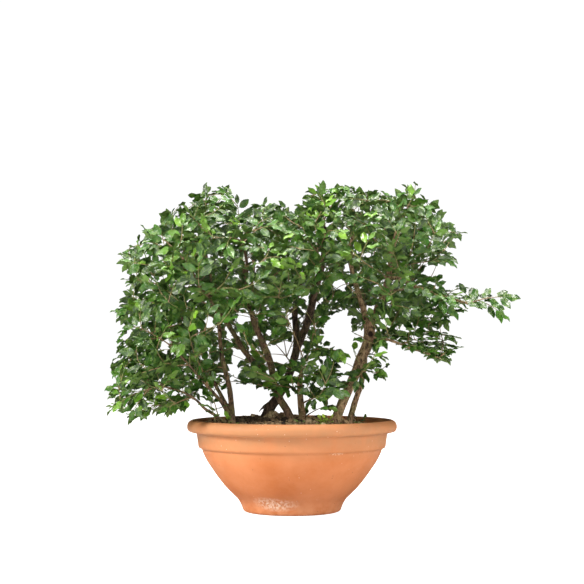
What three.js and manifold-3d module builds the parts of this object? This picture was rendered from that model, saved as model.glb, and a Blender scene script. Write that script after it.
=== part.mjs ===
// An elm bonsai: a clump of five small elm trees that share one round terracotta bowl.
// Millimetres, +Z up. The origin is the centre of the bowl's flat foot, X runs along the clump's
// widest side, and -Y is the side that the clump is seen from.

import * as THREE from "three";
import { mergeVertices } from "three/addons/utils/BufferGeometryUtils.js";
import Module from "manifold-3d";

const wasm = await Module();
wasm.setup();

// Driving dimensions.
const BOWL_RADIUS = 150;
const BOWL_HEIGHT = 130;
const FOOT_RADIUS = 69;
const FLOOR_THICKNESS = 6;
const DRAIN_RADIUS = 6;
const DRAIN_CIRCLE = 38;
const DRAIN_COUNT = 4;
const SOIL_EDGE_HEIGHT = 117;
const SOIL_MOUND = 16;
const LEAF_LENGTH = 26;
const LEAF_WIDTH = 15;
const LEAF_THICKNESS = 0.9;
const LEAF_STALK_WIDTH = 1.8;
const LEAF_SPACING = 24;
const CLEARANCE = 0.32;
const TWIG_ROOT_RADIUS = 1.4;
const TWIG_TIP_RADIUS = 0.7;
const FORK_SHARE = 0.28;

// How finely each kind of surface is divided.
const BOWL_SIDES = 36;
const SOIL_SIDES = 24;
const TRUNK_SIDES = 7;
const LIMB_SIDES = 6;
const BRANCH_SIDES = 5;

const UP = new THREE.Vector3(0, 0, 1);

// Colours of the real thing.
const material = (color, roughness) => new THREE.MeshStandardMaterial({ color, roughness, metalness: 0 });
const TERRACOTTA = material("#e08a5a", 0.75);
const POTTING_SOIL = material("#3b2a20", 0.95);
const BARK = material("#7a6757", 0.9);
const FOLIAGE = material("#3f6b2c", 0.5);

// The woody limbs of each tree. A route starts at its root and its radius goes evenly from the first
// value to the last. A limb that grows from another one starts on that one's centre line.
const LIMBS = {
  left_stem: {
    tree: "left_tree",
    sides: TRUNK_SIDES,
    radii: [6.5, 4.2, 3.8, 3.4, 3, 2.7, 2.4, 2.1, 1.8],
    route: [
      [-80, -61, 98], [-83, -54, 136], [-88, -45, 178], [-94, -38, 200], [-100, -32, 227],
      [-103, -30, 258], [-108, -30, 289], [-113, -32, 320], [-120, -30, 354], [-125, -25, 386],
    ],
  },
  left_slanting_stem: {
    tree: "left_tree",
    sides: LIMB_SIDES,
    radii: [3.4, 2.7, 2.2, 1.7, 1.4],
    route: [
      [-83, -55, 128], [-96, -66, 155], [-112, -76, 174], [-129, -88, 195], [-148, -96, 217],
      [-169, -98, 238],
    ],
  },
  left_low_stem: {
    tree: "left_tree",
    sides: LIMB_SIDES,
    radii: [3, 2.4, 2, 1.6, 1.2],
    route: [
      [-82, -56, 120], [-106, -66, 139], [-120, -72, 148], [-134, -76, 162], [-155, -78, 173],
      [-182, -76, 180],
    ],
  },
  left_inner_stem: {
    tree: "left_tree",
    sides: LIMB_SIDES,
    radii: [3.4, 2.8, 2.4, 2, 1.6],
    route: [
      [-84, -53, 138], [-101, -40, 168], [-114, -24, 191], [-125, -8, 217], [-140, 4, 247],
      [-159, 10, 276], [-179, 12, 299],
    ],
  },
  leaning_trunk: {
    tree: "leaning_tree",
    sides: TRUNK_SIDES,
    radii: [9, 6, 5.4, 5.2, 5, 4.6, 4, 3.4, 2.6, 1.8],
    route: [
      [16, -46, 98], [-7, -32, 144], [-18, -24, 162], [-26, -14, 184], [-30, -6, 207],
      [-42, 2, 240], [-52, 6, 262], [-59, 8, 285], [-65, 8, 314], [-69, 6, 345], [-73, 0, 376],
    ],
  },
  leaning_fork: {
    tree: "leaning_tree",
    sides: LIMB_SIDES,
    radii: [4.6, 4.3, 4.1, 3.6, 2.8, 2],
    route: [
      [-24, -17, 179], [-37, 4, 191], [-51, 20, 207], [-72, 36, 231], [-90, 46, 261],
      [-105, 52, 283], [-124, 56, 308], [-145, 58, 332],
    ],
  },
  dark_left_fork: {
    tree: "dark_tree",
    sides: TRUNK_SIDES,
    radii: [12, 8.2, 6.6, 6.2, 6, 4.8, 4.2, 3.2, 1.9],
    route: [
      [-50, 32, 98], [-32, 40, 145], [-22, 46, 159], [-9, 54, 183], [1, 60, 209], [7, 62, 236],
      [6, 62, 260], [4, 62, 286], [7, 60, 316], [6, 56, 348], [0, 50, 377],
    ],
  },
  dark_right_fork: {
    tree: "dark_tree",
    sides: TRUNK_SIDES,
    radii: [6, 5.8, 5.6, 5.4, 5.2, 3.8, 2],
    route: [
      [7, 62, 233], [18, 58, 258], [25, 52, 277], [31, 44, 302], [37, 38, 328], [44, 32, 356],
      [48, 26, 383], [48, 20, 410],
    ],
  },
  dark_front_root: {
    tree: "dark_tree",
    sides: BRANCH_SIDES,
    radii: [7, 6, 4.5, 3, 1.5],
    route: [[-42, 34, 120], [-34, 18, 130], [-27, 0, 130], [-22, -16, 124], [-20, -30, 114]],
  },
  centre_stem: {
    tree: "centre_tree",
    sides: TRUNK_SIDES,
    radii: [8, 5.8, 5, 3.8, 2],
    route: [
      [20, -24, 98], [13, -32, 149], [11, -36, 173], [13, -42, 196], [18, -46, 213],
    ],
  },
  right_trunk: {
    tree: "right_tree",
    sides: TRUNK_SIDES,
    radii: [11, 7.2, 6.8, 6.8, 7.6, 8, 5, 4.2, 3.6, 2.8, 1.9],
    route: [
      [48, -61, 98], [68, -48, 150], [78, -42, 172], [88, -36, 193], [98, -30, 218],
      [106, -27, 235], [109, -24, 252], [106, -20, 272], [100, -14, 295], [93, -6, 320],
      [86, 2, 345], [84, 8, 371], [87, 10, 395],
    ],
  },
  right_second_stem: {
    tree: "right_tree",
    sides: LIMB_SIDES,
    radii: [6.5, 4.6, 4.2, 4, 3.6],
    route: [[72, -39, 98], [87, -28, 149], [93, -26, 167], [99, -26, 187], [105, -27, 231]],
  },
  right_upper_trunk: {
    tree: "right_tree",
    sides: LIMB_SIDES,
    radii: [6, 5.4, 4.8, 4, 3, 1.9],
    route: [
      [108, -23, 258], [119, -32, 283], [130, -38, 310], [137, -40, 339], [140, -38, 368],
      [147, -34, 396],
    ],
  },
  right_long_bough: {
    tree: "right_tree",
    sides: BRANCH_SIDES,
    radii: [3.6, 3, 2.4, 1.9, 1.5],
    route: [
      [136, -40, 334], [151, -52, 328], [173, -62, 317], [197, -68, 309], [221, -72, 300],
      [246, -74, 293],
    ],
  },
  right_low_bough: {
    tree: "right_tree",
    sides: BRANCH_SIDES,
    radii: [2.8, 2.3, 1.9, 1.6, 1.3],
    route: [
      [108, -26, 247], [124, -40, 247], [143, -52, 241], [165, -58, 232], [187, -60, 225],
      [206, -60, 218],
    ],
  },
};

// Leafy branches that fill the depth of each crown. Each is one piece with its own sprays.
const BRANCHES = {
  left_front_branch: {
    from: "left_stem",
    route: [[-110, -30, 299], [-124, -60, 313], [-138, -84, 337], [-150, -98, 355]],
    sprays: [
      [1.0, [-197, -95, 399], [-141, -130, 396]],
      [0.5, [-237, -95, 355], [-176, -142, 346]],
    ],
  },
  leaning_back_branch: {
    from: "leaning_trunk",
    route: [[-62, 8, 302], [-59, 40, 327], [-57, 70, 352], [-60, 96, 378]],
    sprays: [
      [1.0, [-98, 132, 442], [-52, 138, 424]],
      [0.5, [-87, 146, 351]],
    ],
  },
  leaning_front_branch: {
    from: "leaning_trunk",
    route: [[-66, 8, 319], [-64, -26, 340], [-64, -56, 358], [-68, -78, 373]],
    sprays: [
      [1.0, [-64, -115, 402], [-94, -128, 385], [-32, -46, 412]],
      [0.55, [-64, -136, 340]],
    ],
  },
  dark_back_branch: {
    from: "dark_left_fork",
    route: [[6, 61, 304], [12, 92, 330], [18, 116, 352]],
    sprays: [
      [1.0, [-3, 156, 420], [47, 158, 409], [62, 100, 424]],
      [0.5, [30, 160, 330]],
    ],
  },
  dark_front_branch: {
    from: "dark_right_fork",
    route: [[31, 44, 303], [38, 8, 322], [42, -30, 340], [42, -66, 357]],
    sprays: [
      [1.0, [11, -115, 389], [54, -130, 401], [30, -48, 424]],
      [0.6, [40, -114, 338]],
    ],
  },
  dark_side_branch: {
    from: "dark_right_fork",
    route: [[44, 32, 357], [65, 50, 382], [86, 62, 399]],
    sprays: [[1.0, [138, 84, 455], [103, 46, 464]]],
  },
  right_side_branch: {
    from: "right_upper_trunk",
    route: [[130, -38, 311], [152, -10, 316], [174, 20, 314], [195, 48, 318]],
    sprays: [
      [1.0, [237, 80, 260], [223, 96, 309], [230, 2, 300]],
      [0.5, [185, 104, 273], [194, 100, 363], [146, 66, 258]],
    ],
  },
  right_back_branch: {
    from: "right_trunk",
    route: [[103, -17, 285], [109, 24, 314], [116, 64, 341], [124, 96, 363]],
    sprays: [
      [1.0, [132, 136, 427], [182, 122, 420]],
      [0.6, [90, 142, 385], [169, 132, 350]],
    ],
  },
  right_front_branch: {
    from: "right_upper_trunk",
    route: [[130, -38, 310], [133, -66, 327], [134, -90, 347]],
    sprays: [
      [1.0, [152, -126, 407], [115, -142, 397]],
      [0.5, [108, -140, 341], [154, -130, 347]],
    ],
  },
};

// The leafy sprays that grow straight from a limb: how far along it each one starts, as a share of
// the limb's length, and where the end leaf of each of its twigs reaches.
const SPRAYS = {
  left_stem: [
    [1.0, [-122, -25, 457], [-158, -52, 434]],
    [0.66, [-240, -45, 335], [-210, -72, 310]],
    [0.56, [-112, -120, 308], [-162, -130, 286]],
  ],
  left_slanting_stem: [
    [1.0, [-231, -105, 270], [-213, -130, 239]],
    [0.72, [-230, -118, 192], [-178, -145, 213]],
    [0.42, [-137, -130, 236], [-150, -128, 184]],
  ],
  left_low_stem: [
    [1.0, [-255, -70, 151], [-226, -95, 134], [-204, -22, 164]],
    [0.6, [-182, -112, 145], [-141, -110, 152], [-178, 10, 158]],
    [0.22, [-112, -98, 178]],
  ],
  left_inner_stem: [
    [1.0, [-261, 15, 279], [-253, 35, 312]],
    [0.8, [-259, 20, 230], [-263, -15, 190], [-211, 62, 237], [-216, 48, 182], [-180, 92, 200]],
  ],
  leaning_trunk: [
    [1.0, [-80, -8, 457], [-115, 50, 431]],
    [0.6, [-42, -72, 303], [-66, -120, 280]],
    [0.28, [-84, -20, 190]],
  ],
  leaning_fork: [
    [1.0, [-214, 88, 403], [-170, 112, 413], [-168, 4, 400]],
    [0.85, [-255, 92, 336], [-218, 132, 330], [-214, 26, 358]],
    [0.6, [-157, 142, 351], [-134, 132, 289]],
    [0.34, [-71, 98, 253], [-155, 112, 233]],
  ],
  dark_left_fork: [
    [1.0, [-24, 48, 452]],
    [0.84, [-45, 98, 399], [-26, 14, 409]],
    [0.66, [-31, -22, 346], [-45, 104, 321]],
    [0.42, [-45, 88, 260], [-16, 18, 268], [22, 110, 284]],
  ],
  dark_right_fork: [
    [1.0, [39, 5, 468], [74, -10, 463]],
    [0.42, [68, 30, 270]],
  ],
  centre_stem: [
    [1.0, [-8, -98, 278], [39, -76, 229]],
    [0.8, [72, -76, 198]],
    [0.62, [-33, -90, 183], [-5, -108, 202]],
    [0.46, [44, -100, 168]],
    [0.3, [69, 4, 158]],
  ],
  right_trunk: [
    [1.0, [114, -12, 461], [88, 14, 453]],
    [0.88, [64, -74, 387]],
    [0.76, [62, -74, 334]],
    [0.5, [69, -72, 258]],
    [0.36, [133, -76, 194], [85, -86, 180]],
  ],
  right_upper_trunk: [
    [1.0, [180, -45, 464], [150, -62, 448]],
    [0.84, [214, -50, 419], [247, -56, 397], [204, 34, 410]],
    [0.62, [232, -76, 355], [202, -102, 375]],
    [0.26, [142, -126, 288], [108, -112, 303]],
  ],
  right_long_bough: [
    [1.0, [309, -85, 306], [302, -72, 276]],
    [0.5, [225, -100, 281], [208, -46, 338]],
  ],
  right_low_bough: [
    [1.0, [235, -72, 239], [223, -58, 214], [220, 12, 246]],
    [0.5, [197, -96, 250], [160, -112, 262]],
  ],
};

// A number from 0 to 1 that is always the same for the same three whole numbers.
function chance(a, b, c) {
  let mixed = Math.imul(a + 11, 374761393) ^ Math.imul(b + 7, 668265263) ^ Math.imul(c + 3, 974634777);
  mixed = Math.imul(mixed ^ (mixed >>> 13), 1274126177);
  return ((mixed ^ (mixed >>> 16)) >>> 0) / 4294967296;
}

const vector = (numbers) => new THREE.Vector3(...numbers);
const curveThrough = (route) => new THREE.CatmullRomCurve3(route.map(vector), false, "centripetal");

// Closed solid from a geometry whose faces already close and point outwards.
function solidOf(geometry) {
  const bare = geometry.clone();
  bare.deleteAttribute("normal");
  bare.deleteAttribute("uv");
  const merged = mergeVertices(bare, 1e-4);
  return new wasm.Manifold(
    new wasm.Mesh({
      numProp: 3,
      vertProperties: merged.attributes.position.array,
      triVerts: new Uint32Array(merged.index.array),
    }),
  );
}

// Geometry of a solid, for a mesh.
function geometryOf(solid) {
  const mesh = solid.getMesh();
  const geometry = new THREE.BufferGeometry();
  const positions = new Float32Array(mesh.numVert * 3);
  for (let i = 0; i < mesh.numVert; i++) {
    const start = i * mesh.numProp;
    positions.set(mesh.vertProperties.subarray(start, start + 3), i * 3);
  }
  geometry.setAttribute("position", new THREE.BufferAttribute(positions, 3));
  geometry.setIndex(new THREE.BufferAttribute(new Uint32Array(mesh.triVerts), 1));
  geometry.computeVertexNormals();
  return geometry;
}

// Geometry from points and the triangles between them.
function geometryFrom(points, triangles) {
  const geometry = new THREE.BufferGeometry();
  const positions = new Float32Array(points.flatMap((p) => [p.x, p.y, p.z]));
  geometry.setAttribute("position", new THREE.BufferAttribute(positions, 3));
  geometry.setIndex(triangles);
  return geometry;
}

// The value of an evenly spaced list at a share from 0 to 1 of the way along it.
function valueAlong(list, share) {
  const place = share * (list.length - 1);
  const low = Math.min(Math.floor(place), list.length - 2);
  return THREE.MathUtils.lerp(list[low], list[low + 1], place - low);
}

// A round stem along a curve, thicker or thinner as its radii say, closed flat at both ends. Grown by
// `extra` all round, it is the room that the stem and the clearance about it take.
function stem(curve, radii, sides, rings, extra = 0) {
  const { tangents, normals, binormals } = curve.computeFrenetFrames(rings, false);
  const points = [];
  for (let ring = 0; ring <= rings; ring++) {
    const centre = curve.getPointAt(ring / rings);
    if (ring === 0) centre.addScaledVector(tangents[ring], -extra);
    if (ring === rings) centre.addScaledVector(tangents[ring], extra);
    const radius = valueAlong(radii, ring / rings) + extra;
    for (let side = 0; side < sides; side++) {
      const angle = (side / sides) * Math.PI * 2;
      points.push(
        centre
          .clone()
          .addScaledVector(normals[ring], Math.cos(angle) * radius)
          .addScaledVector(binormals[ring], Math.sin(angle) * radius),
      );
    }
  }
  const triangles = [];
  for (let ring = 0; ring < rings; ring++) {
    for (let side = 0; side < sides; side++) {
      const a = ring * sides + side;
      const b = ring * sides + ((side + 1) % sides);
      triangles.push(a, b, b + sides, a, b + sides, a + sides);
    }
  }
  const last = rings * sides;
  for (let side = 1; side < sides - 1; side++) {
    triangles.push(0, side + 1, side);
    triangles.push(last, last + side, last + side + 1);
  }
  return solidOf(geometryFrom(points, triangles));
}

// One edge of an elm leaf from stalk to tip: share of the length, then of the half width. The step
// back in past the widest point is the largest of the margin's saw teeth.
const LEAF_MARGIN = [[0.36, 1.0], [0.47, 0.83], [0.74, 0.7]];

// The points of one leaf, which runs along X, faces up, folds up a little along its rib and droops to
// its tip: the margin on each side, from stalk to tip, the tip, and the middle of each face.
function leafPoints(length, width, thickness) {
  const fold = 0.16;
  const droop = 0.1;
  const heart = 0.4;
  const sag = (share) => -droop * length * share * share;
  const margin = (side) =>
    LEAF_MARGIN.map(([share, half]) => {
      const reach = (half * width) / 2;
      return new THREE.Vector3(share * length, side * reach, sag(share) + fold * reach);
    });
  return {
    plus: margin(1),
    minus: margin(-1),
    tip: new THREE.Vector3(length, 0, sag(1)),
    upper: new THREE.Vector3(heart * length, 0, sag(heart) + thickness / 2),
    lower: new THREE.Vector3(heart * length, 0, sag(heart) - thickness / 2),
  };
}

const LEAF = leafPoints(LEAF_LENGTH, LEAF_WIDTH, LEAF_THICKNESS);
const LEAF_ROOM = leafPoints(LEAF_LENGTH + 2 * CLEARANCE, LEAF_WIDTH + 3 * CLEARANCE, LEAF_THICKNESS + 4 * CLEARANCE);

// A loose leaf's solid in its place, to try where there is room for it. It starts `stalk` mm out.
function looseLeaf({ plus, minus, tip, upper, lower }, stalk, place) {
  const rim = [new THREE.Vector3(stalk, 0, 0), ...plus, tip, ...[...minus].reverse()];
  const points = [...rim, upper, lower].map((point) => point.clone().applyMatrix4(place));
  const triangles = [];
  for (let i = 0; i < rim.length; i++) {
    const next = (i + 1) % rim.length;
    triangles.push(rim.length, next, i);
    triangles.push(rim.length + 1, i, next);
  }
  return solidOf(geometryFrom(points, triangles));
}

// Everything that stands so far, so that a new leaf can be turned clear of it.
const standing = [];

function remember(solid) {
  const { min, max } = solid.boundingBox();
  standing.push({ solid, box: new THREE.Box3(vector(min), vector(max)) });
}

function isClear(solid) {
  const { min, max } = solid.boundingBox();
  const box = new THREE.Box3(vector(min), vector(max));
  return standing.every((other) => !other.box.intersectsBox(box) || other.solid.intersect(solid).isEmpty());
}

// The middle of each crown, which its leaves face away from, and the boughs whose leaves lie level.
const CROWN_MIDDLES = { left: [-120, -10], leaning: [-90, 10], dark: [30, 30], centre: [10, 0], right: [130, -10] };
const LEVEL_BOUGHS = ["right_long_bough", "right_low_bough"];

// The direction that a twig's leaves face: up and outwards, and more to the clump's two broad sides.
function facing(owner, curve) {
  const root = curve.getPointAt(0);
  const tip = curve.getPointAt(1);
  const [x, y] = CROWN_MIDDLES[owner.split("_")[0]];
  const outward = new THREE.Vector3(0.6 * (tip.x - x), 1.5 * (tip.y - y), 0).normalize();
  const along = tip.clone().sub(root).normalize();
  const isLevel = LEVEL_BOUGHS.some((bough) => owner.startsWith(bough));
  const face = outward.multiplyScalar(isLevel ? 0.15 : 1.1).add(UP);
  return face.addScaledVector(along, -face.dot(along)).normalize();
}

// The curve of one twig: it leaves rising, and arches over towards the tip that its end leaf reaches.
function twigCurve(start, tip) {
  const reach = start.distanceTo(tip);
  const end = tip.clone().lerp(start, (0.75 * LEAF_LENGTH) / reach);
  const middle = start.clone().lerp(end, 0.5).addScaledVector(UP, 0.1 * reach);
  return new THREE.QuadraticBezierCurve3(start, middle, end);
}

// The curves of a spray's twigs: the first runs from the root to its tip, and the others fork from it.
function twigCurves(root, tips) {
  const first = twigCurve(root, vector(tips[0]));
  return tips.map((tip, i) => (i === 0 ? first : twigCurve(first.getPointAt(FORK_SHARE), vector(tip))));
}

// The place of one leaf on a twig, the first of a few that is clear of everything else. The leaf at
// the tip has side 0, and the others stand on side 1 or -1.
function placeLeaf(curve, share, side, normal, seeds) {
  const at = curve.getPointAt(share);
  const along = curve.getTangentAt(share);
  const across = new THREE.Vector3().crossVectors(along, normal).normalize();
  const swing = side === 0 ? 0 : THREE.MathUtils.degToRad(52 + 12 * chance(...seeds, 1));
  for (let attempt = 0; attempt < 9; attempt++) {
    const turn = [0, 0.32, -0.12][attempt % 3];
    const roll = 0.9 * (chance(...seeds, 2) - 0.5) + 0.45 * Math.floor(attempt / 3) * (side || 1);
    const size = (1 - 0.04 * attempt) * (0.88 + 0.12 * chance(...seeds, 3));
    const direction = along
      .clone()
      .multiplyScalar(Math.cos(swing + turn))
      .addScaledVector(across, Math.sin(swing + turn) * (side || 1));
    const face = normal.clone().addScaledVector(across, Math.sin(roll));
    face.addScaledVector(direction, -face.dot(direction)).normalize();
    const place = new THREE.Matrix4()
      .makeBasis(direction, new THREE.Vector3().crossVectors(face, direction), face)
      .scale(new THREE.Vector3(size, size, 1))
      .setPosition(at);
    if (isClear(looseLeaf(LEAF_ROOM, side === 0 ? 1 : 2, place))) return place;
  }
  return null;
}

// The leaves of one twig, from the lowest to the one at its tip.
function placeLeaves(curve, normal, seed) {
  const length = curve.getLength();
  const count = length < 28 ? 2 : length < 84 ? 3 : 4;
  const spacing = Math.min(LEAF_SPACING, (0.68 * length) / (count - 1));
  const leaves = [];
  for (let i = 0; i < count; i++) {
    const side = i === 0 ? 0 : i % 2 ? 1 : -1;
    const share = 1 - (i * spacing) / length;
    const place = placeLeaf(curve, share, side, normal, [seed, i]);
    if (place) {
      leaves.unshift({ share, side, place });
      remember(looseLeaf(LEAF, side === 0 ? 0.2 : 1, place));
    }
  }
  return leaves;
}

// A three-sided twig with its leaves grown out of it: one from its end, and the others in turn from
// the two sides that meet along its top, each just past a ring.
function leafyTwig(curve, normal, leaves, isFirst) {
  const onSides = leaves.filter((leaf) => leaf.side !== 0);
  const rings = [{ share: 0 }, ...(isFirst ? [{ share: FORK_SHARE }] : []), ...onSides, { share: 1 }];
  const points = [];
  const corner = (share, angle) => {
    const along = curve.getTangentAt(share);
    const top = normal.clone().addScaledVector(along, -normal.dot(along)).normalize();
    const right = new THREE.Vector3().crossVectors(along, top);
    const radius = THREE.MathUtils.lerp(TWIG_ROOT_RADIUS, TWIG_TIP_RADIUS, share);
    const arm = top.multiplyScalar(Math.cos(angle) * radius).addScaledVector(right, Math.sin(angle) * radius);
    return arm.add(curve.getPointAt(share));
  };
  for (const { share } of rings) {
    for (let i = 0; i < 3; i++) points.push(corner(share, (i / 3) * Math.PI * 2));
  }
  const triangles = [0, 2, 1];
  for (let ring = 0; ring < rings.length - 1; ring++) {
    const [top, right, left] = [3 * ring, 3 * ring + 1, 3 * ring + 2];
    const [nextTop, nextRight, nextLeft] = [top + 3, right + 3, left + 3];
    triangles.push(right, left, nextLeft, right, nextLeft, nextRight);
    const leaf = rings[ring];
    let split = top;
    if (leaf.side) {
      split = points.length;
      points.push(points[top].clone().lerp(points[nextTop], LEAF_STALK_WIDTH / points[top].distanceTo(points[nextTop])));
      if (leaf.side > 0) growLeaf(points, triangles, [top, right, split, split], leaf);
      else triangles.push(top, right, split);
      if (leaf.side < 0) growLeaf(points, triangles, [left, top, split, split], leaf);
      else triangles.push(left, top, split);
    }
    triangles.push(split, right, nextRight, split, nextRight, nextTop);
    triangles.push(left, split, nextLeft, split, nextTop, nextLeft);
  }
  const end = (rings.length - 1) * 3;
  const last = leaves.find((leaf) => leaf.side === 0);
  if (last) growLeaf(points, triangles, [end, end + 1, end + 2, end], last);
  else triangles.push(end, end + 1, end + 2);
  return solidOf(geometryFrom(points, triangles));
}

// The faces of one leaf. They close the gap that its root corners leave in the twig: two on the
// leaf's upper or lower side, a and aNext, and two on the other, where a pair may be one point.
function growLeaf(points, triangles, [a, b, bNext, aNext], { side, place }) {
  const [near, far] = side < 0 ? [LEAF.plus, LEAF.minus] : [LEAF.minus, LEAF.plus];
  const [heartA, heartB] = side < 0 ? [LEAF.lower, LEAF.upper] : [LEAF.upper, LEAF.lower];
  const first = points.length;
  const edge = [...near, LEAF.tip, ...[...far].reverse()];
  points.push(...[...edge, heartA, heartB].map((point) => point.clone().applyMatrix4(place)));
  const onA = first + edge.length;
  const onB = onA + 1;
  for (let i = first; i < onA - 1; i++) {
    triangles.push(i, i + 1, onA);
    triangles.push(i + 1, i, onB);
  }
  triangles.push(a, b, first, a, first, onA, onA - 1, aNext, onA);
  triangles.push(first, b, onB, bNext, onA - 1, onB, b, bNext, onB);
  if (bNext !== aNext) triangles.push(bNext, aNext, onA - 1);
  if (a !== aNext) triangles.push(aNext, a, onA);
}

const join = (solids) => solids.reduce((all, next) => all.add(next));

const limbCurves = Object.fromEntries(Object.entries(LIMBS).map(([name, limb]) => [name, curveThrough(limb.route)]));

function limbSolid(name, extra) {
  const { route, radii, sides } = LIMBS[name];
  return stem(limbCurves[name], radii, sides, route.length + 1, extra);
}

// Each tree's bare wood, as it is and grown by the clearance that what touches it keeps.
const treeNames = [...new Set(Object.values(LIMBS).map((limb) => limb.tree))];
const limbsOf = (tree) => Object.keys(LIMBS).filter((name) => LIMBS[name].tree === tree);
const trees = Object.fromEntries(treeNames.map((tree) => [tree, join(limbsOf(tree).map((n) => limbSolid(n, 0)))]));
const grownTrees = join(Object.keys(LIMBS).map((name) => limbSolid(name, CLEARANCE)));
treeNames.forEach((tree) => remember(trees[tree]));

// Every leafy piece: its name, a bare branch if it has one, and the twigs of its sprays.
const leafyPieces = [];
for (const [name, { route, sprays }] of Object.entries(BRANCHES)) {
  const curve = curveThrough(route);
  leafyPieces.push({
    name,
    wood: stem(curve, [2.8, 2.2, 1.7], BRANCH_SIDES, route.length),
    twigs: sprays.flatMap(([share, ...tips]) => twigCurves(curve.getPointAt(share * 0.97), tips)),
  });
}
for (const [limb, sprays] of Object.entries(SPRAYS)) {
  sprays.forEach(([share, ...tips], i) => {
    const root = limbCurves[limb].getPointAt(Math.min(share, 0.985));
    leafyPieces.push({ name: `${limb}_spray_${i + 1}`, twigs: twigCurves(root, tips) });
  });
}

// The bare twigs stand first. The leaves are then turned clear of them and of each other.
for (const piece of leafyPieces) {
  if (piece.wood) remember(piece.wood);
  piece.normals = piece.twigs.map((curve) => facing(piece.name, curve));
  piece.twigs.forEach((curve, i) => remember(leafyTwig(curve, piece.normals[i], [], true)));
}

// Each leafy piece is joined, and cut clear of the wood that it grows from.
leafyPieces.forEach((piece, number) => {
  piece.leaves = piece.twigs.map((curve, i) => placeLeaves(curve, piece.normals[i], number * 16 + i));
  const leafy = piece.twigs.map((curve, i) => leafyTwig(curve, piece.normals[i], piece.leaves[i], i === 0));
  const whole = join([...(piece.wood ? [piece.wood] : []), ...leafy]);
  const bodies = whole.subtract(grownTrees).decompose();
  bodies.sort((one, other) => other.volume() - one.volume());
  piece.solid = bodies[0];
});

// The bowl's outline, from the middle of its foot, up the outside, over the rolled rim and down inside.
const BOWL_OUTLINE = [
  [0, 0], [FOOT_RADIUS - 2, 0], [FOOT_RADIUS + 1, 4], [FOOT_RADIUS + 3.5, 11], [84, 24.6], [103, 45.7],
  [122, 74], [129, 89.5], [133.5, 91.5], [136, 113], [BOWL_RADIUS - 4, 113.5], [BOWL_RADIUS, 118.5],
  [BOWL_RADIUS - 1.5, 126], [BOWL_RADIUS - 7, BOWL_HEIGHT], [137.5, 129], [132, 112], [125, 89],
  [99, 47.5], [60, FLOOR_THICKNESS], [0, FLOOR_THICKNESS],
];

function latheSolid(outline, sides) {
  const points = outline.map(([radius, height]) => new THREE.Vector2(radius, height));
  return solidOf(new THREE.LatheGeometry(points, sides).rotateX(Math.PI / 2));
}

function bowlSolid() {
  let bowl = latheSolid(BOWL_OUTLINE, BOWL_SIDES);
  for (let i = 0; i < DRAIN_COUNT; i++) {
    const angle = ((i + 0.5) / DRAIN_COUNT) * Math.PI * 2;
    const drain = new THREE.CylinderGeometry(DRAIN_RADIUS, DRAIN_RADIUS, 4 * FLOOR_THICKNESS, 10);
    drain.rotateX(Math.PI / 2);
    drain.translate(DRAIN_CIRCLE * Math.cos(angle), DRAIN_CIRCLE * Math.sin(angle), 0);
    bowl = bowl.subtract(solidOf(drain));
  }
  return bowl;
}

// The potting soil: it fills the bowl to below the rim and rises in a lumpy mound round the stems.
function soilSolid() {
  const floor = FLOOR_THICKNESS + CLEARANCE;
  const outline = [
    [0, floor], [59, floor], [98.3, 48.3], [124.1, 89.6], [132.2, SOIL_EDGE_HEIGHT],
    [112, SOIL_EDGE_HEIGHT], [82, SOIL_EDGE_HEIGHT], [48, SOIL_EDGE_HEIGHT], [0, SOIL_EDGE_HEIGHT],
  ];
  const points = outline.map(([radius, height]) => new THREE.Vector2(radius, height));
  const geometry = new THREE.LatheGeometry(points, SOIL_SIDES).rotateX(Math.PI / 2);
  const position = geometry.attributes.position;
  for (let i = 0; i < position.count; i++) {
    const radius = Math.hypot(position.getX(i), position.getY(i));
    if (position.getZ(i) > SOIL_EDGE_HEIGHT - 1 && radius < 120) {
      position.setZ(i, soilHeight(position.getX(i), position.getY(i)));
    }
  }
  return solidOf(geometry).subtract(grownTrees);
}

// Height of the soil's surface: highest left of the middle, where the roots push it up.
function soilHeight(x, y) {
  const spread = 1 - Math.min(1, Math.hypot(x + 20, y - 10) / 135);
  const lumps = 1.6 * Math.sin(x * 0.11 + 1.3) * Math.cos(y * 0.13) + 0.9 * Math.sin(x * 0.31 + y * 0.23);
  return SOIL_EDGE_HEIGHT + SOIL_MOUND * Math.sqrt(spread) + lumps;
}

function named(name, solid, finish) {
  const mesh = new THREE.Mesh(geometryOf(solid), finish);
  mesh.name = name;
  return mesh;
}

const bonsai = new THREE.Group();
bonsai.add(named("bowl", bowlSolid(), TERRACOTTA));
bonsai.add(named("soil", soilSolid(), POTTING_SOIL));
treeNames.forEach((tree) => bonsai.add(named(tree, trees[tree], BARK)));
leafyPieces.forEach((piece) => bonsai.add(named(piece.name, piece.solid, FOLIAGE)));

export default bonsai;
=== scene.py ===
"""Elm bonsai: a clump of five small elms in one round terracotta bowl, dressed over its CAD frame.

The tables of limbs and twigs are in millimetres, as in the part's source; Blender's own lengths are metres.
+Z is up, and -Y is the side that the clump is seen from.
"""

import itertools
import math

import bmesh
import bpy
import numpy as np
from bpy.props import FloatProperty, FloatVectorProperty, IntProperty, PointerProperty
from bpy.types import Operator, Panel, PropertyGroup
from mathutils import Matrix, Vector


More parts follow.
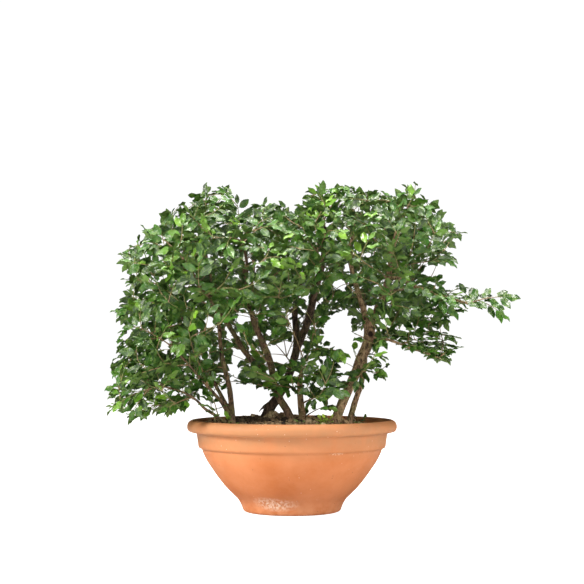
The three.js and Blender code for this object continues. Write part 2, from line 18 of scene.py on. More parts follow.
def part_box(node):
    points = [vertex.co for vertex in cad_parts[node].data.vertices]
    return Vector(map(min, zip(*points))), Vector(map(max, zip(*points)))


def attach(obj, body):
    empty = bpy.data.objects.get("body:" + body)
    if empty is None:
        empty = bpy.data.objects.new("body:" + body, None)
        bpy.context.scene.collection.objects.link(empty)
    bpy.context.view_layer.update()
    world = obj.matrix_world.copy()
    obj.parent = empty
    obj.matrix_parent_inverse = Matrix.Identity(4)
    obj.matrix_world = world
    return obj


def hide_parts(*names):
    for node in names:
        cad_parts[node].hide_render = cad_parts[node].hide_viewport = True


bl_info = {
    "name": "Elm Bonsai",
    "version": (1, 0, 0),
    "blender": (4, 5, 0),
    "location": "3D View > Sidebar > Bonsai",
    "description": "Builds a clump of small elms in a terracotta bowl",
    "category": "Add Mesh",
}

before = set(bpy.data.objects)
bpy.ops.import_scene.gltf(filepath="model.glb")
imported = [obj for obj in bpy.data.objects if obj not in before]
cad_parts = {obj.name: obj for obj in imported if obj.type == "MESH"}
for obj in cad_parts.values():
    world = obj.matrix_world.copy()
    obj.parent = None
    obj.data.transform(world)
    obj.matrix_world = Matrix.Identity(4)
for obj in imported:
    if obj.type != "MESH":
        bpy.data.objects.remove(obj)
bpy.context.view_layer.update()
BOWL_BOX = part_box("bowl")

MM = 0.001
UP = np.array([0.0, 0.0, 1.0])

# What the CAD part measures, in millimetres.
BOWL_RADIUS = 150
BOWL_HEIGHT = 130
SOIL_RADIUS = 130
SOIL_EDGE_HEIGHT = 117
SOIL_MOUND = 16
CAD_LEAF_LENGTH = 26

# The woody limbs of each tree, as in the CAD part: tree, evenly spaced radii, and the route they follow.
LIMBS = {
    "left_stem": (
        "left_tree", [6.5, 4.2, 3.8, 3.4, 3, 2.7, 2.4, 2.1, 1.8],
        [(-80, -61, 98), (-83, -54, 136), (-88, -45, 178), (-94, -38, 200), (-100, -32, 227),
         (-103, -30, 258), (-108, -30, 289), (-113, -32, 320), (-120, -30, 354), (-125, -25, 386)],
    ),
    "left_slanting_stem": (
        "left_tree", [3.4, 2.7, 2.2, 1.7, 1.4],
        [(-83, -55, 128), (-96, -66, 155), (-112, -76, 174), (-129, -88, 195), (-148, -96, 217),
         (-169, -98, 238)],
    ),
    "left_low_stem": (
        "left_tree", [3, 2.4, 2, 1.6, 1.2],
        [(-82, -56, 120), (-106, -66, 139), (-120, -72, 148), (-134, -76, 162), (-155, -78, 173),
         (-182, -76, 180)],
    ),
    "left_inner_stem": (
        "left_tree", [3.4, 2.8, 2.4, 2, 1.6],
        [(-84, -53, 138), (-101, -40, 168), (-114, -24, 191), (-125, -8, 217), (-140, 4, 247),
         (-159, 10, 276), (-179, 12, 299)],
    ),
    "leaning_trunk": (
        "leaning_tree", [9, 6, 5.4, 5.2, 5, 4.6, 4, 3.4, 2.6, 1.8],
        [(16, -46, 98), (-7, -32, 144), (-18, -24, 162), (-26, -14, 184), (-30, -6, 207),
         (-42, 2, 240), (-52, 6, 262), (-59, 8, 285), (-65, 8, 314), (-69, 6, 345), (-73, 0, 376)],
    ),
    "leaning_fork": (
        "leaning_tree", [4.6, 4.3, 4.1, 3.6, 2.8, 2],
        [(-24, -17, 179), (-37, 4, 191), (-51, 20, 207), (-72, 36, 231), (-90, 46, 261),
         (-105, 52, 283), (-124, 56, 308), (-145, 58, 332)],
    ),
    "dark_left_fork": (
        "dark_tree", [12, 8.2, 6.6, 6.2, 6, 4.8, 4.2, 3.2, 1.9],
        [(-50, 32, 98), (-32, 40, 145), (-22, 46, 159), (-9, 54, 183), (1, 60, 209), (7, 62, 236),
         (6, 62, 260), (4, 62, 286), (7, 60, 316), (6, 56, 348), (0, 50, 377)],
    ),
    "dark_right_fork": (
        "dark_tree", [6, 5.8, 5.6, 5.4, 5.2, 3.8, 2],
        [(7, 62, 233), (18, 58, 258), (25, 52, 277), (31, 44, 302), (37, 38, 328), (44, 32, 356),
         (48, 26, 383), (48, 20, 410)],
    ),
    "dark_front_root": (
        "dark_tree", [7, 6, 4.5, 3, 1.5],
        [(-42, 34, 120), (-34, 18, 130), (-27, 0, 130), (-22, -16, 124), (-20, -30, 114)],
    ),
    "centre_stem": (
        "centre_tree", [8, 5.8, 5, 3.8, 2],
        [(20, -24, 98), (13, -32, 149), (11, -36, 173), (13, -42, 196), (18, -46, 213)],
    ),
    "right_trunk": (
        "right_tree", [11, 7.2, 6.8, 6.8, 7.6, 8, 5, 4.2, 3.6, 2.8, 1.9],
        [(48, -61, 98), (68, -48, 150), (78, -42, 172), (88, -36, 193), (98, -30, 218),
         (106, -27, 235), (109, -24, 252), (106, -20, 272), (100, -14, 295), (93, -6, 320),
         (86, 2, 345), (84, 8, 371), (87, 10, 395)],
    ),
    "right_second_stem": (
        "right_tree", [6.5, 4.6, 4.2, 4, 3.6],
        [(72, -39, 98), (87, -28, 149), (93, -26, 167), (99, -26, 187), (105, -27, 231)],
    ),
    "right_upper_trunk": (
        "right_tree", [6, 5.4, 4.8, 4, 3, 1.9],
        [(108, -23, 258), (119, -32, 283), (130, -38, 310), (137, -40, 339), (140, -38, 368),
         (147, -34, 396)],
    ),
    "right_long_bough": (
        "right_tree", [3.6, 3, 2.4, 1.9, 1.5],
        [(136, -40, 334), (151, -52, 328), (173, -62, 317), (197, -68, 309), (221, -72, 300),
         (246, -74, 293)],
    ),
    "right_low_bough": (
        "right_tree", [2.8, 2.3, 1.9, 1.6, 1.3],
        [(108, -26, 247), (124, -40, 247), (143, -52, 241), (165, -58, 232), (187, -60, 225),
         (206, -60, 218)],
    ),
}

# Leafy branches that fill the depth of each crown: what they grow from, their route and their sprays.
BRANCHES = {
    "left_front_branch": (
        [(-110, -30, 299), (-124, -60, 313), (-138, -84, 337), (-150, -98, 355)],
        [(1.0, (-197, -95, 399), (-141, -130, 396)), (0.5, (-237, -95, 355), (-176, -142, 346))],
    ),
    "leaning_back_branch": (
        [(-62, 8, 302), (-59, 40, 327), (-57, 70, 352), (-60, 96, 378)],
        [(1.0, (-98, 132, 442), (-52, 138, 424)), (0.5, (-87, 146, 351))],
    ),
    "leaning_front_branch": (
        [(-66, 8, 319), (-64, -26, 340), (-64, -56, 358), (-68, -78, 373)],
        [(1.0, (-64, -115, 402), (-94, -128, 385), (-32, -46, 412)), (0.55, (-64, -136, 340))],
    ),
    "dark_back_branch": (
        [(6, 61, 304), (12, 92, 330), (18, 116, 352)],
        [(1.0, (-3, 156, 420), (47, 158, 409), (62, 100, 424)), (0.5, (30, 160, 330))],
    ),
    "dark_front_branch": (
        [(31, 44, 303), (38, 8, 322), (42, -30, 340), (42, -66, 357)],
        [(1.0, (11, -115, 389), (54, -130, 401), (30, -48, 424)), (0.6, (40, -114, 338))],
    ),
    "dark_side_branch": (
        [(44, 32, 357), (65, 50, 382), (86, 62, 399)],
        [(1.0, (138, 84, 455), (103, 46, 464))],
    ),
    "right_side_branch": (
        [(130, -38, 311), (152, -10, 316), (174, 20, 314), (195, 48, 318)],
        [(1.0, (237, 80, 260), (223, 96, 309), (230, 2, 300)),
         (0.5, (185, 104, 273), (194, 100, 363), (146, 66, 258))],
    ),
    "right_back_branch": (
        [(103, -17, 285), (109, 24, 314), (116, 64, 341), (124, 96, 363)],
        [(1.0, (132, 136, 427), (182, 122, 420)), (0.6, (90, 142, 385), (169, 132, 350))],
    ),
    "right_front_branch": (
        [(130, -38, 310), (133, -66, 327), (134, -90, 347)],
        [(1.0, (152, -126, 407), (115, -142, 397)), (0.5, (108, -140, 341), (154, -130, 347))],
    ),
}
BRANCH_RADII = [2.8, 2.2, 1.7]

# Leafy sprays that grow straight from a limb: the share of its length where each starts, and where the
# end leaf of each of its twigs reaches. A spray's other twigs fork off its first at FORK_SHARE.
SPRAYS = {
    "left_stem": [
        (1.0, (-122, -25, 457), (-158, -52, 434)),
        (0.66, (-240, -45, 335), (-210, -72, 310)),
        (0.56, (-112, -120, 308), (-162, -130, 286)),
    ],
    "left_slanting_stem": [
        (1.0, (-231, -105, 270), (-213, -130, 239)),
        (0.72, (-230, -118, 192), (-178, -145, 213)),
        (0.42, (-137, -130, 236), (-150, -128, 184)),
    ],
    "left_low_stem": [
        (1.0, (-255, -70, 151), (-226, -95, 134), (-204, -22, 164)),
        (0.6, (-182, -112, 145), (-141, -110, 152), (-178, 10, 158)),
        (0.22, (-112, -98, 178)),
    ],
    "left_inner_stem": [
        (1.0, (-261, 15, 279), (-253, 35, 312)),
        (0.8, (-259, 20, 230), (-263, -15, 190), (-211, 62, 237), (-216, 48, 182), (-180, 92, 200)),
    ],
    "leaning_trunk": [
        (1.0, (-80, -8, 457), (-115, 50, 431)),
        (0.6, (-42, -72, 303), (-66, -120, 280)),
        (0.28, (-84, -20, 190)),
    ],
    "leaning_fork": [
        (1.0, (-214, 88, 403), (-170, 112, 413), (-168, 4, 400)),
        (0.85, (-255, 92, 336), (-218, 132, 330), (-214, 26, 358)),
        (0.6, (-157, 142, 351), (-134, 132, 289)),
        (0.34, (-71, 98, 253), (-155, 112, 233)),
    ],
    "dark_left_fork": [
        (1.0, (-24, 48, 452)),
        (0.84, (-45, 98, 399), (-26, 14, 409)),
        (0.66, (-31, -22, 346), (-45, 104, 321)),
        (0.42, (-45, 88, 260), (-16, 18, 268), (22, 110, 284)),
    ],
    "dark_right_fork": [
        (1.0, (39, 5, 468), (74, -10, 463)),
        (0.42, (68, 30, 270)),
    ],
    "centre_stem": [
        (1.0, (-8, -98, 278), (39, -76, 229)),
        (0.8, (72, -76, 198)),
        (0.62, (-33, -90, 183), (-5, -108, 202)),
        (0.46, (44, -100, 168)),
        (0.3, (69, 4, 158)),
    ],
    "right_trunk": [
        (1.0, (114, -12, 461), (88, 14, 453)),
        (0.88, (64, -74, 387)),
        (0.76, (62, -74, 334)),
        (0.5, (69, -72, 258)),
        (0.36, (133, -76, 194), (85, -86, 180)),
    ],
    "right_upper_trunk": [
        (1.0, (180, -45, 464), (150, -62, 448)),
        (0.84, (214, -50, 419), (247, -56, 397), (204, 34, 410)),
        (0.62, (232, -76, 355), (202, -102, 375)),
        (0.26, (142, -126, 288), (108, -112, 303)),
    ],
    "right_long_bough": [
        (1.0, (309, -85, 306), (302, -72, 276)),
        (0.5, (225, -100, 281), (208, -46, 338)),
    ],
    "right_low_bough": [
        (1.0, (235, -72, 239), (223, -58, 214), (220, 12, 246)),
        (0.5, (197, -96, 250), (160, -112, 262)),
    ],
}
FORK_SHARE = 0.28

# The crown as the photographer saw it, in masses of leaves, the low clumps in front first. Each has its
# outline (across, up), the depths that it fills as (across, middle, half depth), how many places are tried
# for a shoot, and how far in from the outline it is full depth.
MASSES = [
    {
        "outline": [
            (-43, 227), (-12, 236), (12, 244), (49, 247), (78, 227), (75, 204), (79, 166), (75, 141),
            (40, 135), (12, 143), (-3, 169), (-35, 164), (-43, 187),
        ],
        "depths": [(-50, -58, 42), (80, -50, 45)],
        "tries": 3000,
        "rounding": 35,
    },
    {
        "outline": [
            (86, 236), (104, 259), (132, 247), (141, 221), (137, 192), (106, 182), (89, 195), (78, 210),
        ],
        "depths": [(70, -62, 35), (140, -62, 35)],
        "tries": 3000,
        "rounding": 30,
    },
    {
        "outline": [
            (-262, 146), (-263, 179), (-259, 204), (-255, 237), (-247, 266), (-259, 286), (-244, 305),
            (-226, 319), (-246, 342), (-249, 366), (-233, 382), (-219, 395), (-210, 412), (-190, 415),
            (-181, 434), (-161, 440), (-144, 453), (-132, 466), (-115, 461), (-95, 466), (-83, 445),
            (-70, 427), (-55, 437), (-37, 448), (-17, 443), (3, 435), (17, 448), (32, 468), (55, 466),
            (72, 471), (92, 464), (112, 467), (129, 457), (144, 453), (158, 463), (181, 474), (178, 451),
            (198, 448), (213, 438), (223, 422), (234, 405), (253, 410), (243, 394), (230, 379),
            (236, 356), (207, 353), (196, 342), (213, 329), (244, 323), (270, 317), (312, 315),
            (306, 303), (276, 303), (301, 282), (282, 283), (256, 292), (244, 294), (250, 284),
            (228, 274), (216, 262), (240, 248), (230, 227), (219, 210), (201, 218), (173, 231),
            (150, 237), (121, 236), (106, 259), (86, 259), (70, 287), (52, 270), (49, 244), (12, 233),
            (0, 238), (-14, 241), (-29, 213), (-35, 166), (-69, 175), (-78, 207), (-92, 175),
            (-124, 175), (-138, 155), (-167, 141), (-207, 138), (-230, 123), (-242, 141),
        ],
        "depths": [
            (-260, -10, 100), (-200, -5, 135), (-100, 0, 148), (0, 10, 150), (150, 8, 150), (215, 5, 115),
            (238, 0, 85), (252, -60, 35), (310, -78, 20),
        ],
        "tries": 26000,
        "rounding": 90,
    },
]

# Wood that only shows close to: tree, then lines of points and radii. The first is a spur on a root, the
# second the swollen rim round an old wound on the right trunk.
WOUND = (111, -31, 252)
WOUND_TURNS = [i * math.tau / 12 for i in range(13)]
SMALL_WOOD = [
    ("dark_tree", [(-34, 38, 150), (-42, 34, 146), (-49, 31, 139)], [4, 2, 0.5]),
    (
        "right_tree",
        [(WOUND[0] + 5.6 * math.cos(a), WOUND[1] + 1.2 * math.cos(a), WOUND[2] + 7 * math.sin(a))
         for a in WOUND_TURNS],
        [2.3, 2.6],
    ),
]

# A gnarled root that stands out of the soil in front of the dark tree.
BARED_ROOT = [
    ([(-44, 4, 118), (-36, -2, 133), (-27, -6, 139), (-20, -8, 133), (-14, -12, 122)], [3, 4.2, 4.6, 4, 3]),
    (
        [(-40, -10, 118), (-33, -14, 127), (-24, -16, 131), (-17, -20, 124), (-13, -24, 118)],
        [3, 3.6, 4.4, 3.4, 2.6],
    ),
    ([(-34, -2, 138), (-29, -8, 132), (-24, -14, 127), (-20, -20, 121)], [2.6, 3, 3.2, 2.4]),
    ([(-28, -21, 121), (-23, -23, 125), (-17, -24, 122)], [3, 3.8, 3]),
]

# Small plants in the soil: foot, tip, number of leaves, and how big and how fresh these are.
SPROUTS = {
    "sprout": [
        ((-103, -84, 121), (-113, -80, 159), 7, 0.85, 0.35),
        ((-88, -86, 121), (-86, -88, 134), 3, 0.7, 0.95),
        ((93, -30, 122), (92, -32, 132), 3, 0.42, 0.1),
        ((97, -31, 122), (101, -32, 131), 2, 0.4, 0.15),
    ],
    "weed": [
        ((46, -74, 122), (45, -74, 134), 6, 0.42, 0.8),
        ((48, -75, 122), (52, -77, 133), 5, 0.42, 0.7),
        ((44, -74, 122), (39, -76, 132), 5, 0.4, 0.9),
    ],
}

# Moss on the soil: middle across and from front to back, and radius.
MOSS = [(66, -60, 14), (84, -70, 13), (-84, -66, 10), (10, -50, 9), (-20, 70, 18), (100, 20, 14)]

# Stretches of limbs with no leaves in front, as the limb and the shares of its length that it runs
# between, and how far to each side of the limb stays clear.
BARE_STRETCHES = [
    ("left_stem", 0.0, 0.42), ("left_stem", 0.49, 0.57), ("left_slanting_stem", 0.0, 0.3),
    ("leaning_trunk", 0.0, 0.18), ("leaning_trunk", 0.4, 0.66), ("leaning_fork", 0.33, 0.62),
    ("dark_left_fork", 0.48, 0.7), ("dark_right_fork", 0.12, 0.45), ("centre_stem", 0.0, 0.35),
    ("right_trunk", 0.0, 0.13), ("right_trunk", 0.41, 0.56), ("right_trunk", 0.66, 0.76),
    ("right_second_stem", 0.0, 0.2),
]
CLEAR_WIDTH = 9

# Openings that show clear through the crown, as the photographer saw them.
OPENINGS = [
    [(-86, 169), (-69, 177), (-43, 174), (-32, 164), (-35, 152), (-52, 138), (-81, 138)],
    [(-89, 230), (-75, 234), (-72, 215), (-83, 207)],
    [(-23, 233), (-12, 243), (0, 240), (-1, 221), (-17, 210), (-29, 213)],
    [(49, 270), (69, 289), (86, 264), (88, 247), (76, 231), (60, 238), (55, 253)],
    [(76, 221), (86, 224), (85, 204), (76, 204)],
    [(-124, 276), (-112, 277), (-111, 264), (-121, 261)],
    [(-79, 283), (-68, 286), (-66, 270), (-76, 269)],
    [(59, 332), (76, 335), (78, 316), (60, 315)],
    [(73, 353), (86, 355), (86, 342), (75, 340)],
    [(-194, 238), (-178, 243), (-180, 228), (-193, 230)],
    [(187, 352), (201, 356), (204, 340), (190, 338)],
    [(53, 161), (73, 166), (69, 152), (55, 149)],
    [(33, 122), (62, 122), (62, 145), (33, 147)],
]

# Where the photographer stood: how far in front of the bowl and how high.
VIEW_DISTANCE = 1930
VIEW_HEIGHT = 223

# The middle of each tree's crown, across and from front to back.
CROWN_MIDDLES = {
    "left": (-120, -10), "leaning": (-90, 10), "dark": (30, 30), "centre": (10, 0), "right": (130, -10),
}

# Boughs with flat, level sprays, and the way that their leaves face: to the back and up.
LEVEL_BOUGHS = {"right_long_bough": (-0.8, 1.0), "right_low_bough": (-0.2, 1.0)}

# Where along each limb its own leafy shoots may start.
BARE_SHARE = {
    "left_stem": 0.34, "left_slanting_stem": 0.3, "left_low_stem": 0.25, "left_inner_stem": 0.35,
    "leaning_trunk": 0.4, "leaning_fork": 0.3, "dark_left_fork": 0.45, "dark_right_fork": 0.15,
    "centre_stem": 0.3, "right_trunk": 0.36, "right_upper_trunk": 0.0, "right_long_bough": 0.0,
    "right_low_bough": 0.1,
}


def linear(code):
    """An sRGB hex colour as linear red, green and blue."""
    parts = [int(code[i : i + 2], 16) / 255 for i in (1, 3, 5)]
    return tuple(c / 12.92 if c <= 0.04045 else ((c + 0.055) / 1.055) ** 2.4 for c in parts)


def shade(colour, share):
    """A colour made darker."""
    return tuple(share * part for part in colour)


def length_property(name, description, value):
    return FloatProperty(name=name, description=description, default=value, unit="LENGTH", precision=4)


def colour_property(name, description, code):
    return FloatVectorProperty(
        name=name, description=description, default=linear(code), subtype="COLOR", size=3, min=0, max=1
    )


class BonsaiBowl(PropertyGroup):
    """Sizes and colours of the bowl."""

    radius: length_property("Radius", "Outer radius of the rolled rim", BOWL_BOX[1].x)
    height: length_property("Height", "Height from the foot to the top of the rim", BOWL_BOX[1].z)
    drain_radius: length_property("Drain radius", "Radius of each drain hole", 6 * MM)
    drain_circle: length_property("Drain circle", "Distance of the drain holes from the middle", 38 * MM)
    clay: colour_property("Clay", "Fired clay over most of the bowl", "#d08356")
    pale_clay: colour_property("Pale clay", "Drier patches, where salts have come out", "#d8956d")
    deep_clay: colour_property("Deep clay", "Harder fired patches", "#c2703e")
    worn_clay: colour_property("Worn clay", "Duller clay where the rim is handled", "#b47b53")
    lime: colour_property("Lime", "Dried lime that weeps out near the foot", "#f3e4d6")
    pinhole_shade: colour_property("Pinhole", "Bottom of a pinhole", "#6e422b")
    stain_and_shade: colour_property("Stain", "Soil stain on the inside of the rim", "#7d4a30")


class BonsaiSoil(PropertyGroup):
    """Sizes and colours of the potting soil."""

    edge_height: length_property("Edge height", "Height of the soil at the rim", SOIL_EDGE_HEIGHT * MM)
    mound: length_property("Mound", "How far the soil rises round the stems", SOIL_MOUND * MM)
    crumb: length_property("Crumb", "Middle size of a crumb of soil", 2.6 * MM)
    dark: colour_property("Peat", "Damp peat", "#291c12")
    brown: colour_property("Humus", "Drier crumbs", "#ae916d")
    tan: colour_property("Bark bits", "Scraps of bark and fibre", "#cdb592")
    moss: colour_property("Moss", "Moss by the stems", "#7d963c")


class BonsaiWood(PropertyGroup):
    """Sizes and colours of the stems and twigs."""

    fineness: length_property("Fineness", "Size of the small faces that the wood is made of", 0.95 * MM)
    relief: length_property("Relief", "How far the bark's knobs and furrows stand out", 0.85 * MM)
    grey_bark: colour_property("Grey bark", "Older bark in the light", "#a98c6e")
    brown_bark: colour_property("Brown bark", "Younger bark", "#775c47")
    dark_bark: colour_property("Dark bark", "Damp, shaded bark", "#5f4c3d")
    algae: colour_property("Algae", "Green film on the shaded side", "#6e6d42")
    bare_root: colour_property("Bare root", "Root that stands out of the soil", "#d6bf96")
    twig: colour_property("Twig", "Last year's twigs", "#94795a")
    shoot: colour_property("Young shoot", "This year's shoots", "#8c9150")


class BonsaiLeaves(PropertyGroup):
    """Sizes and colours of the leaves."""

    length: length_property("Length", "Length of a full-grown leaf with its stalk", 27.5 * MM)
    width: length_property("Width", "Width of a full-grown leaf", 13.4 * MM)
    gap: length_property("Gap", "Distance from leaf to leaf along a shoot", 8.6 * MM)
    spacing: length_property("Spacing", "How near to a leaf the next shoot may reach", 18.6 * MM)
    seed: IntProperty(name="Seed", description="Picks one of many like crowns", default=4)
    mature: colour_property("Mature", "Full-grown leaf, upper side", "#183807")
    middle: colour_property("Middle", "Leaf in its first months", "#366b15")
    fresh: colour_property("Fresh", "Leaf that has just opened", "#82b42c")
    under: colour_property("Under side", "Paler under side", "#5d7a30")


class BonsaiStage(PropertyGroup):
    """The studio."""

    distance: length_property("Distance", "From the middle of the bowl to the camera", VIEW_DISTANCE * MM)
    eye_height: length_property("Eye height", "Height of the camera", VIEW_HEIGHT * MM)
    lens: FloatProperty(name="Lens", description="Focal length in millimetres", default=82.7)
    tilt: FloatProperty(
        name="Tilt", description="How far up the camera looks", default=math.radians(2.67), subtype="ANGLE"
    )
    floor: colour_property("Floor", "Pale paper floor", "#cccccc")


def set_inputs(tree, node, inputs):
    """Gives inputs, by name or in order, a value or a link from a socket or from a node's first output."""
    pairs = inputs.items() if isinstance(inputs, dict) else enumerate(inputs)
    for name, value in pairs:
        if isinstance(value, bpy.types.Node):
            value = next(socket for socket in value.outputs if socket.enabled)
        if isinstance(value, bpy.types.NodeSocket):
            tree.links.new(value, node.inputs[name])
        elif node.inputs[name].type == "RGBA":
            node.inputs[name].default_value = (*value[:3], 1)
        else:
            node.inputs[name].default_value = value


def add_node(tree, kind, inputs=(), **settings):
    """Adds a node with its own settings and its inputs."""
    node = tree.nodes.new(kind)
    for name, value in settings.items():
        setattr(node, name, value)
    set_inputs(tree, node, inputs)
    return node


# Lines and directions, in millimetres.

ROUTE_STEP = 3.0


def unit(vector):
    return vector / max(np.linalg.norm(vector), 1e-9)


class Route:
    """A line through points, asked for places by their share of its length."""

    def __init__(self, points):
        self.points = np.asarray(points, float)
        steps = np.linalg.norm(np.diff(self.points, axis=0), axis=1)
        self.places = np.concatenate([[0.0], np.cumsum(steps)])
        self.length = self.places[-1]

    def at(self, share):
        place = min(max(share, 0), 1) * self.length
        return np.array([np.interp(place, self.places, self.points[:, axis]) for axis in range(3)])

    def heading(self, share):
        return unit(self.at(min(share + 0.02, 1)) - self.at(max(share - 0.02, 0)))

    def cut(self, length):
        """The same line, ended at a length."""
        return Route([*self.points[self.places < length - 0.01], self.at(length / self.length)])


def through(points, step=ROUTE_STEP):
    """The smooth route through points, as the CAD limbs run: a centripetal curve, cut every `step`."""
    points = [np.array(point, float) for point in points]
    points = [2 * points[0] - points[1], *points, 2 * points[-1] - points[-2]]
    line = []
    for before, start, end, after in zip(points, points[1:], points[2:], points[3:]):
        pairs = ((before, start), (start, end), (end, after))
        gaps = [max(np.linalg.norm(b - a) ** 0.5, 1e-4) for a, b in pairs]
        leave = (start - before) / gaps[0] - (end - before) / (gaps[0] + gaps[1]) + (end - start) / gaps[1]
        arrive = (end - start) / gaps[1] - (after - start) / (gaps[1] + gaps[2]) + (after - end) / gaps[2]
        leave, arrive = leave * gaps[1], arrive * gaps[1]
        for t in np.linspace(0, 1, 24, endpoint=False):
            line.append(
                start
                + leave * t
                + (3 * (end - start) - 2 * leave - arrive) * t**2
                + (2 * (start - end) + leave + arrive) * t**3
            )
    fine = Route([*line, points[-2]])
    count = max(int(fine.length / step), 2)
    return Route([fine.at(share) for share in np.linspace(0, 1, count + 1)])


def bowed(start, end, rise, sway=np.zeros(3)):
    """A route from start to end that bows up by a share of its reach."""
    reach = np.linalg.norm(end - start)
    middle = (start + end) / 2 + UP * rise * reach + sway * reach
    count = max(int(reach / ROUTE_STEP), 4)
    shares = np.linspace(0, 1, count + 1)
    return Route([(1 - t) ** 2 * start + 2 * t * (1 - t) * middle + t**2 * end for t in shares])


def inside(outline, across, up):
    """Which of the points lie inside an outline."""
    found = np.zeros(np.shape(across), bool)
    for (x1, z1), (x2, z2) in zip(outline, outline[1:] + outline[:1]):
        if z1 != z2:
            found ^= ((z1 > up) != (z2 > up)) & (across < x1 + (up - z1) * (x2 - x1) / (z2 - z1))
    return found


def rim_distance(outline, across, up):
    """How far each point is from the nearest edge of an outline."""
    places = np.stack([across, up], -1)
    nearest = np.full(len(places), 1e9)
    for start, end in zip(outline, outline[1:] + outline[:1]):
        start, edge = np.array(start, float), np.array(end, float) - np.array(start, float)
        share = np.clip(((places - start) @ edge) / max(edge @ edge, 1e-9), 0, 1)
        nearest = np.minimum(nearest, np.linalg.norm(places - start - share[:, None] * edge, axis=1))
    return nearest


def seen_from_front(point):
    """Where a point shows on the plane through the bowl's middle, from where the photographer stood."""
    nearness = 1 + point[1] / VIEW_DISTANCE
    return point[0] / nearness, VIEW_HEIGHT + (point[2] - VIEW_HEIGHT) / nearness


# The crown's wood and where its leaves sit, in millimetres.


class Neighbours:
    """Points sorted into cells, so that those near a place are found quickly."""

    def __init__(self, cell):
        self.cell = cell
        self.cells = {}

    def add(self, point, fact=None):
        key = tuple(math.floor(value / self.cell) for value in point)
        self.cells.setdefault(key, []).append((tuple(point), fact))

    def near(self, point, reach):
        """Each point within reach, after its distance, and what is known of it."""
        low, high = [[math.floor((v + way) / self.cell) for v in point] for way in (-reach, reach)]
        for key in itertools.product(*[range(first, last + 1) for first, last in zip(low, high)]):
            for other, fact in self.cells.get(key, ()):
                if (gap := math.dist(point, other)) < reach:
                    yield gap, other, fact


def facing(owner, route):
    """The direction that a shoot's leaves face: up and outwards, and more to the clump's broad sides."""
    tip = route.at(1)
    middle = CROWN_MIDDLES[owner.split("_")[0]]
    outward = unit(np.array([0.6 * (tip[0] - middle[0]), 1.5 * (tip[1] - middle[1]), 0]))
    face = np.array([0.1, *LEVEL_BOUGHS[owner]]) if owner in LEVEL_BOUGHS else outward * 0.5 + UP
    along = unit(tip - route.at(0))
    return unit(face - along * (face @ along))


def cad_twig(start, tip):
    """The route of a twig that the CAD part has, which stops where its end leaf begins."""
    start, tip = np.array(start, float), np.array(tip, float)
    end = tip + (start - tip) * 0.75 * CAD_LEAF_LENGTH / np.linalg.norm(start - tip)
    return bowed(start, end, 0.1)


def sprout_leaves(stem, count, size, tint, chance):
    """The leaves of a small plant, round its stem and closer together towards its tip."""
    leaves = []
    turn = chance.uniform(0, math.tau)
    for i in range(count):
        share = 1 - 0.72 * (i / count) ** 1.3
        turn += chance.uniform(2.2, 2.9)
        away = np.array([math.cos(turn), math.sin(turn), 0])
        direction = unit(away + UP * (1.5 if i == 0 else chance.uniform(0.1, 0.8)))
        face = unit(UP - direction * direction[2])
        leaves.append(
            {
                "place": stem.at(share),
                "axes": (direction, np.cross(face, direction), face),
                "size": size * chance.uniform(0.75, 1.1),
                "shape": int(chance.integers(0, len(LEAF_HABITS))),
                "tint": float(np.clip(tint + chance.normal(0, 0.08), 0, 1)),
            }
        )
    return leaves


# How the crown grows, in millimetres: how far wood sends a shoot and how near it starts none, how much of a
# shoot bears leaves, and how far apart the side shoots of a level bough are.
SHOOT_REACH = 92
NEAREST_SHOOT = 18
LEAFY_LENGTH = 56
LEVEL_STEP = 11

# What it costs a shoot to turn off its wood's line, and to go down.
TURN_COST = 0.5
FALL_COST = 40

# The last leaves of a shoot, from its tip: how close each is to the next, and its size.
LEAF_GAPS = [0.45, 0.7, 0.85, 1]
LEAF_SIZES = [0.7, 0.8, 0.9, 0.98]
LEVEL_LEAF_SIZE = 0.92

# How fresh a shoot's leaves are, from full-grown at 0 to just opened at 1, and how often.
FRESHNESS = {0.05: 0.4, 0.25: 0.34, 0.5: 0.19, 0.85: 0.07}
LEVEL_FRESHNESS = 0.25

# How far a shoot leans over, and how far its leaves droop, roll and nod.
CROWN_HABIT = (0.5, 1, 0.5, 0.3)
LEVEL_HABIT = (0.12, 0.35, 0.16, 0.12)


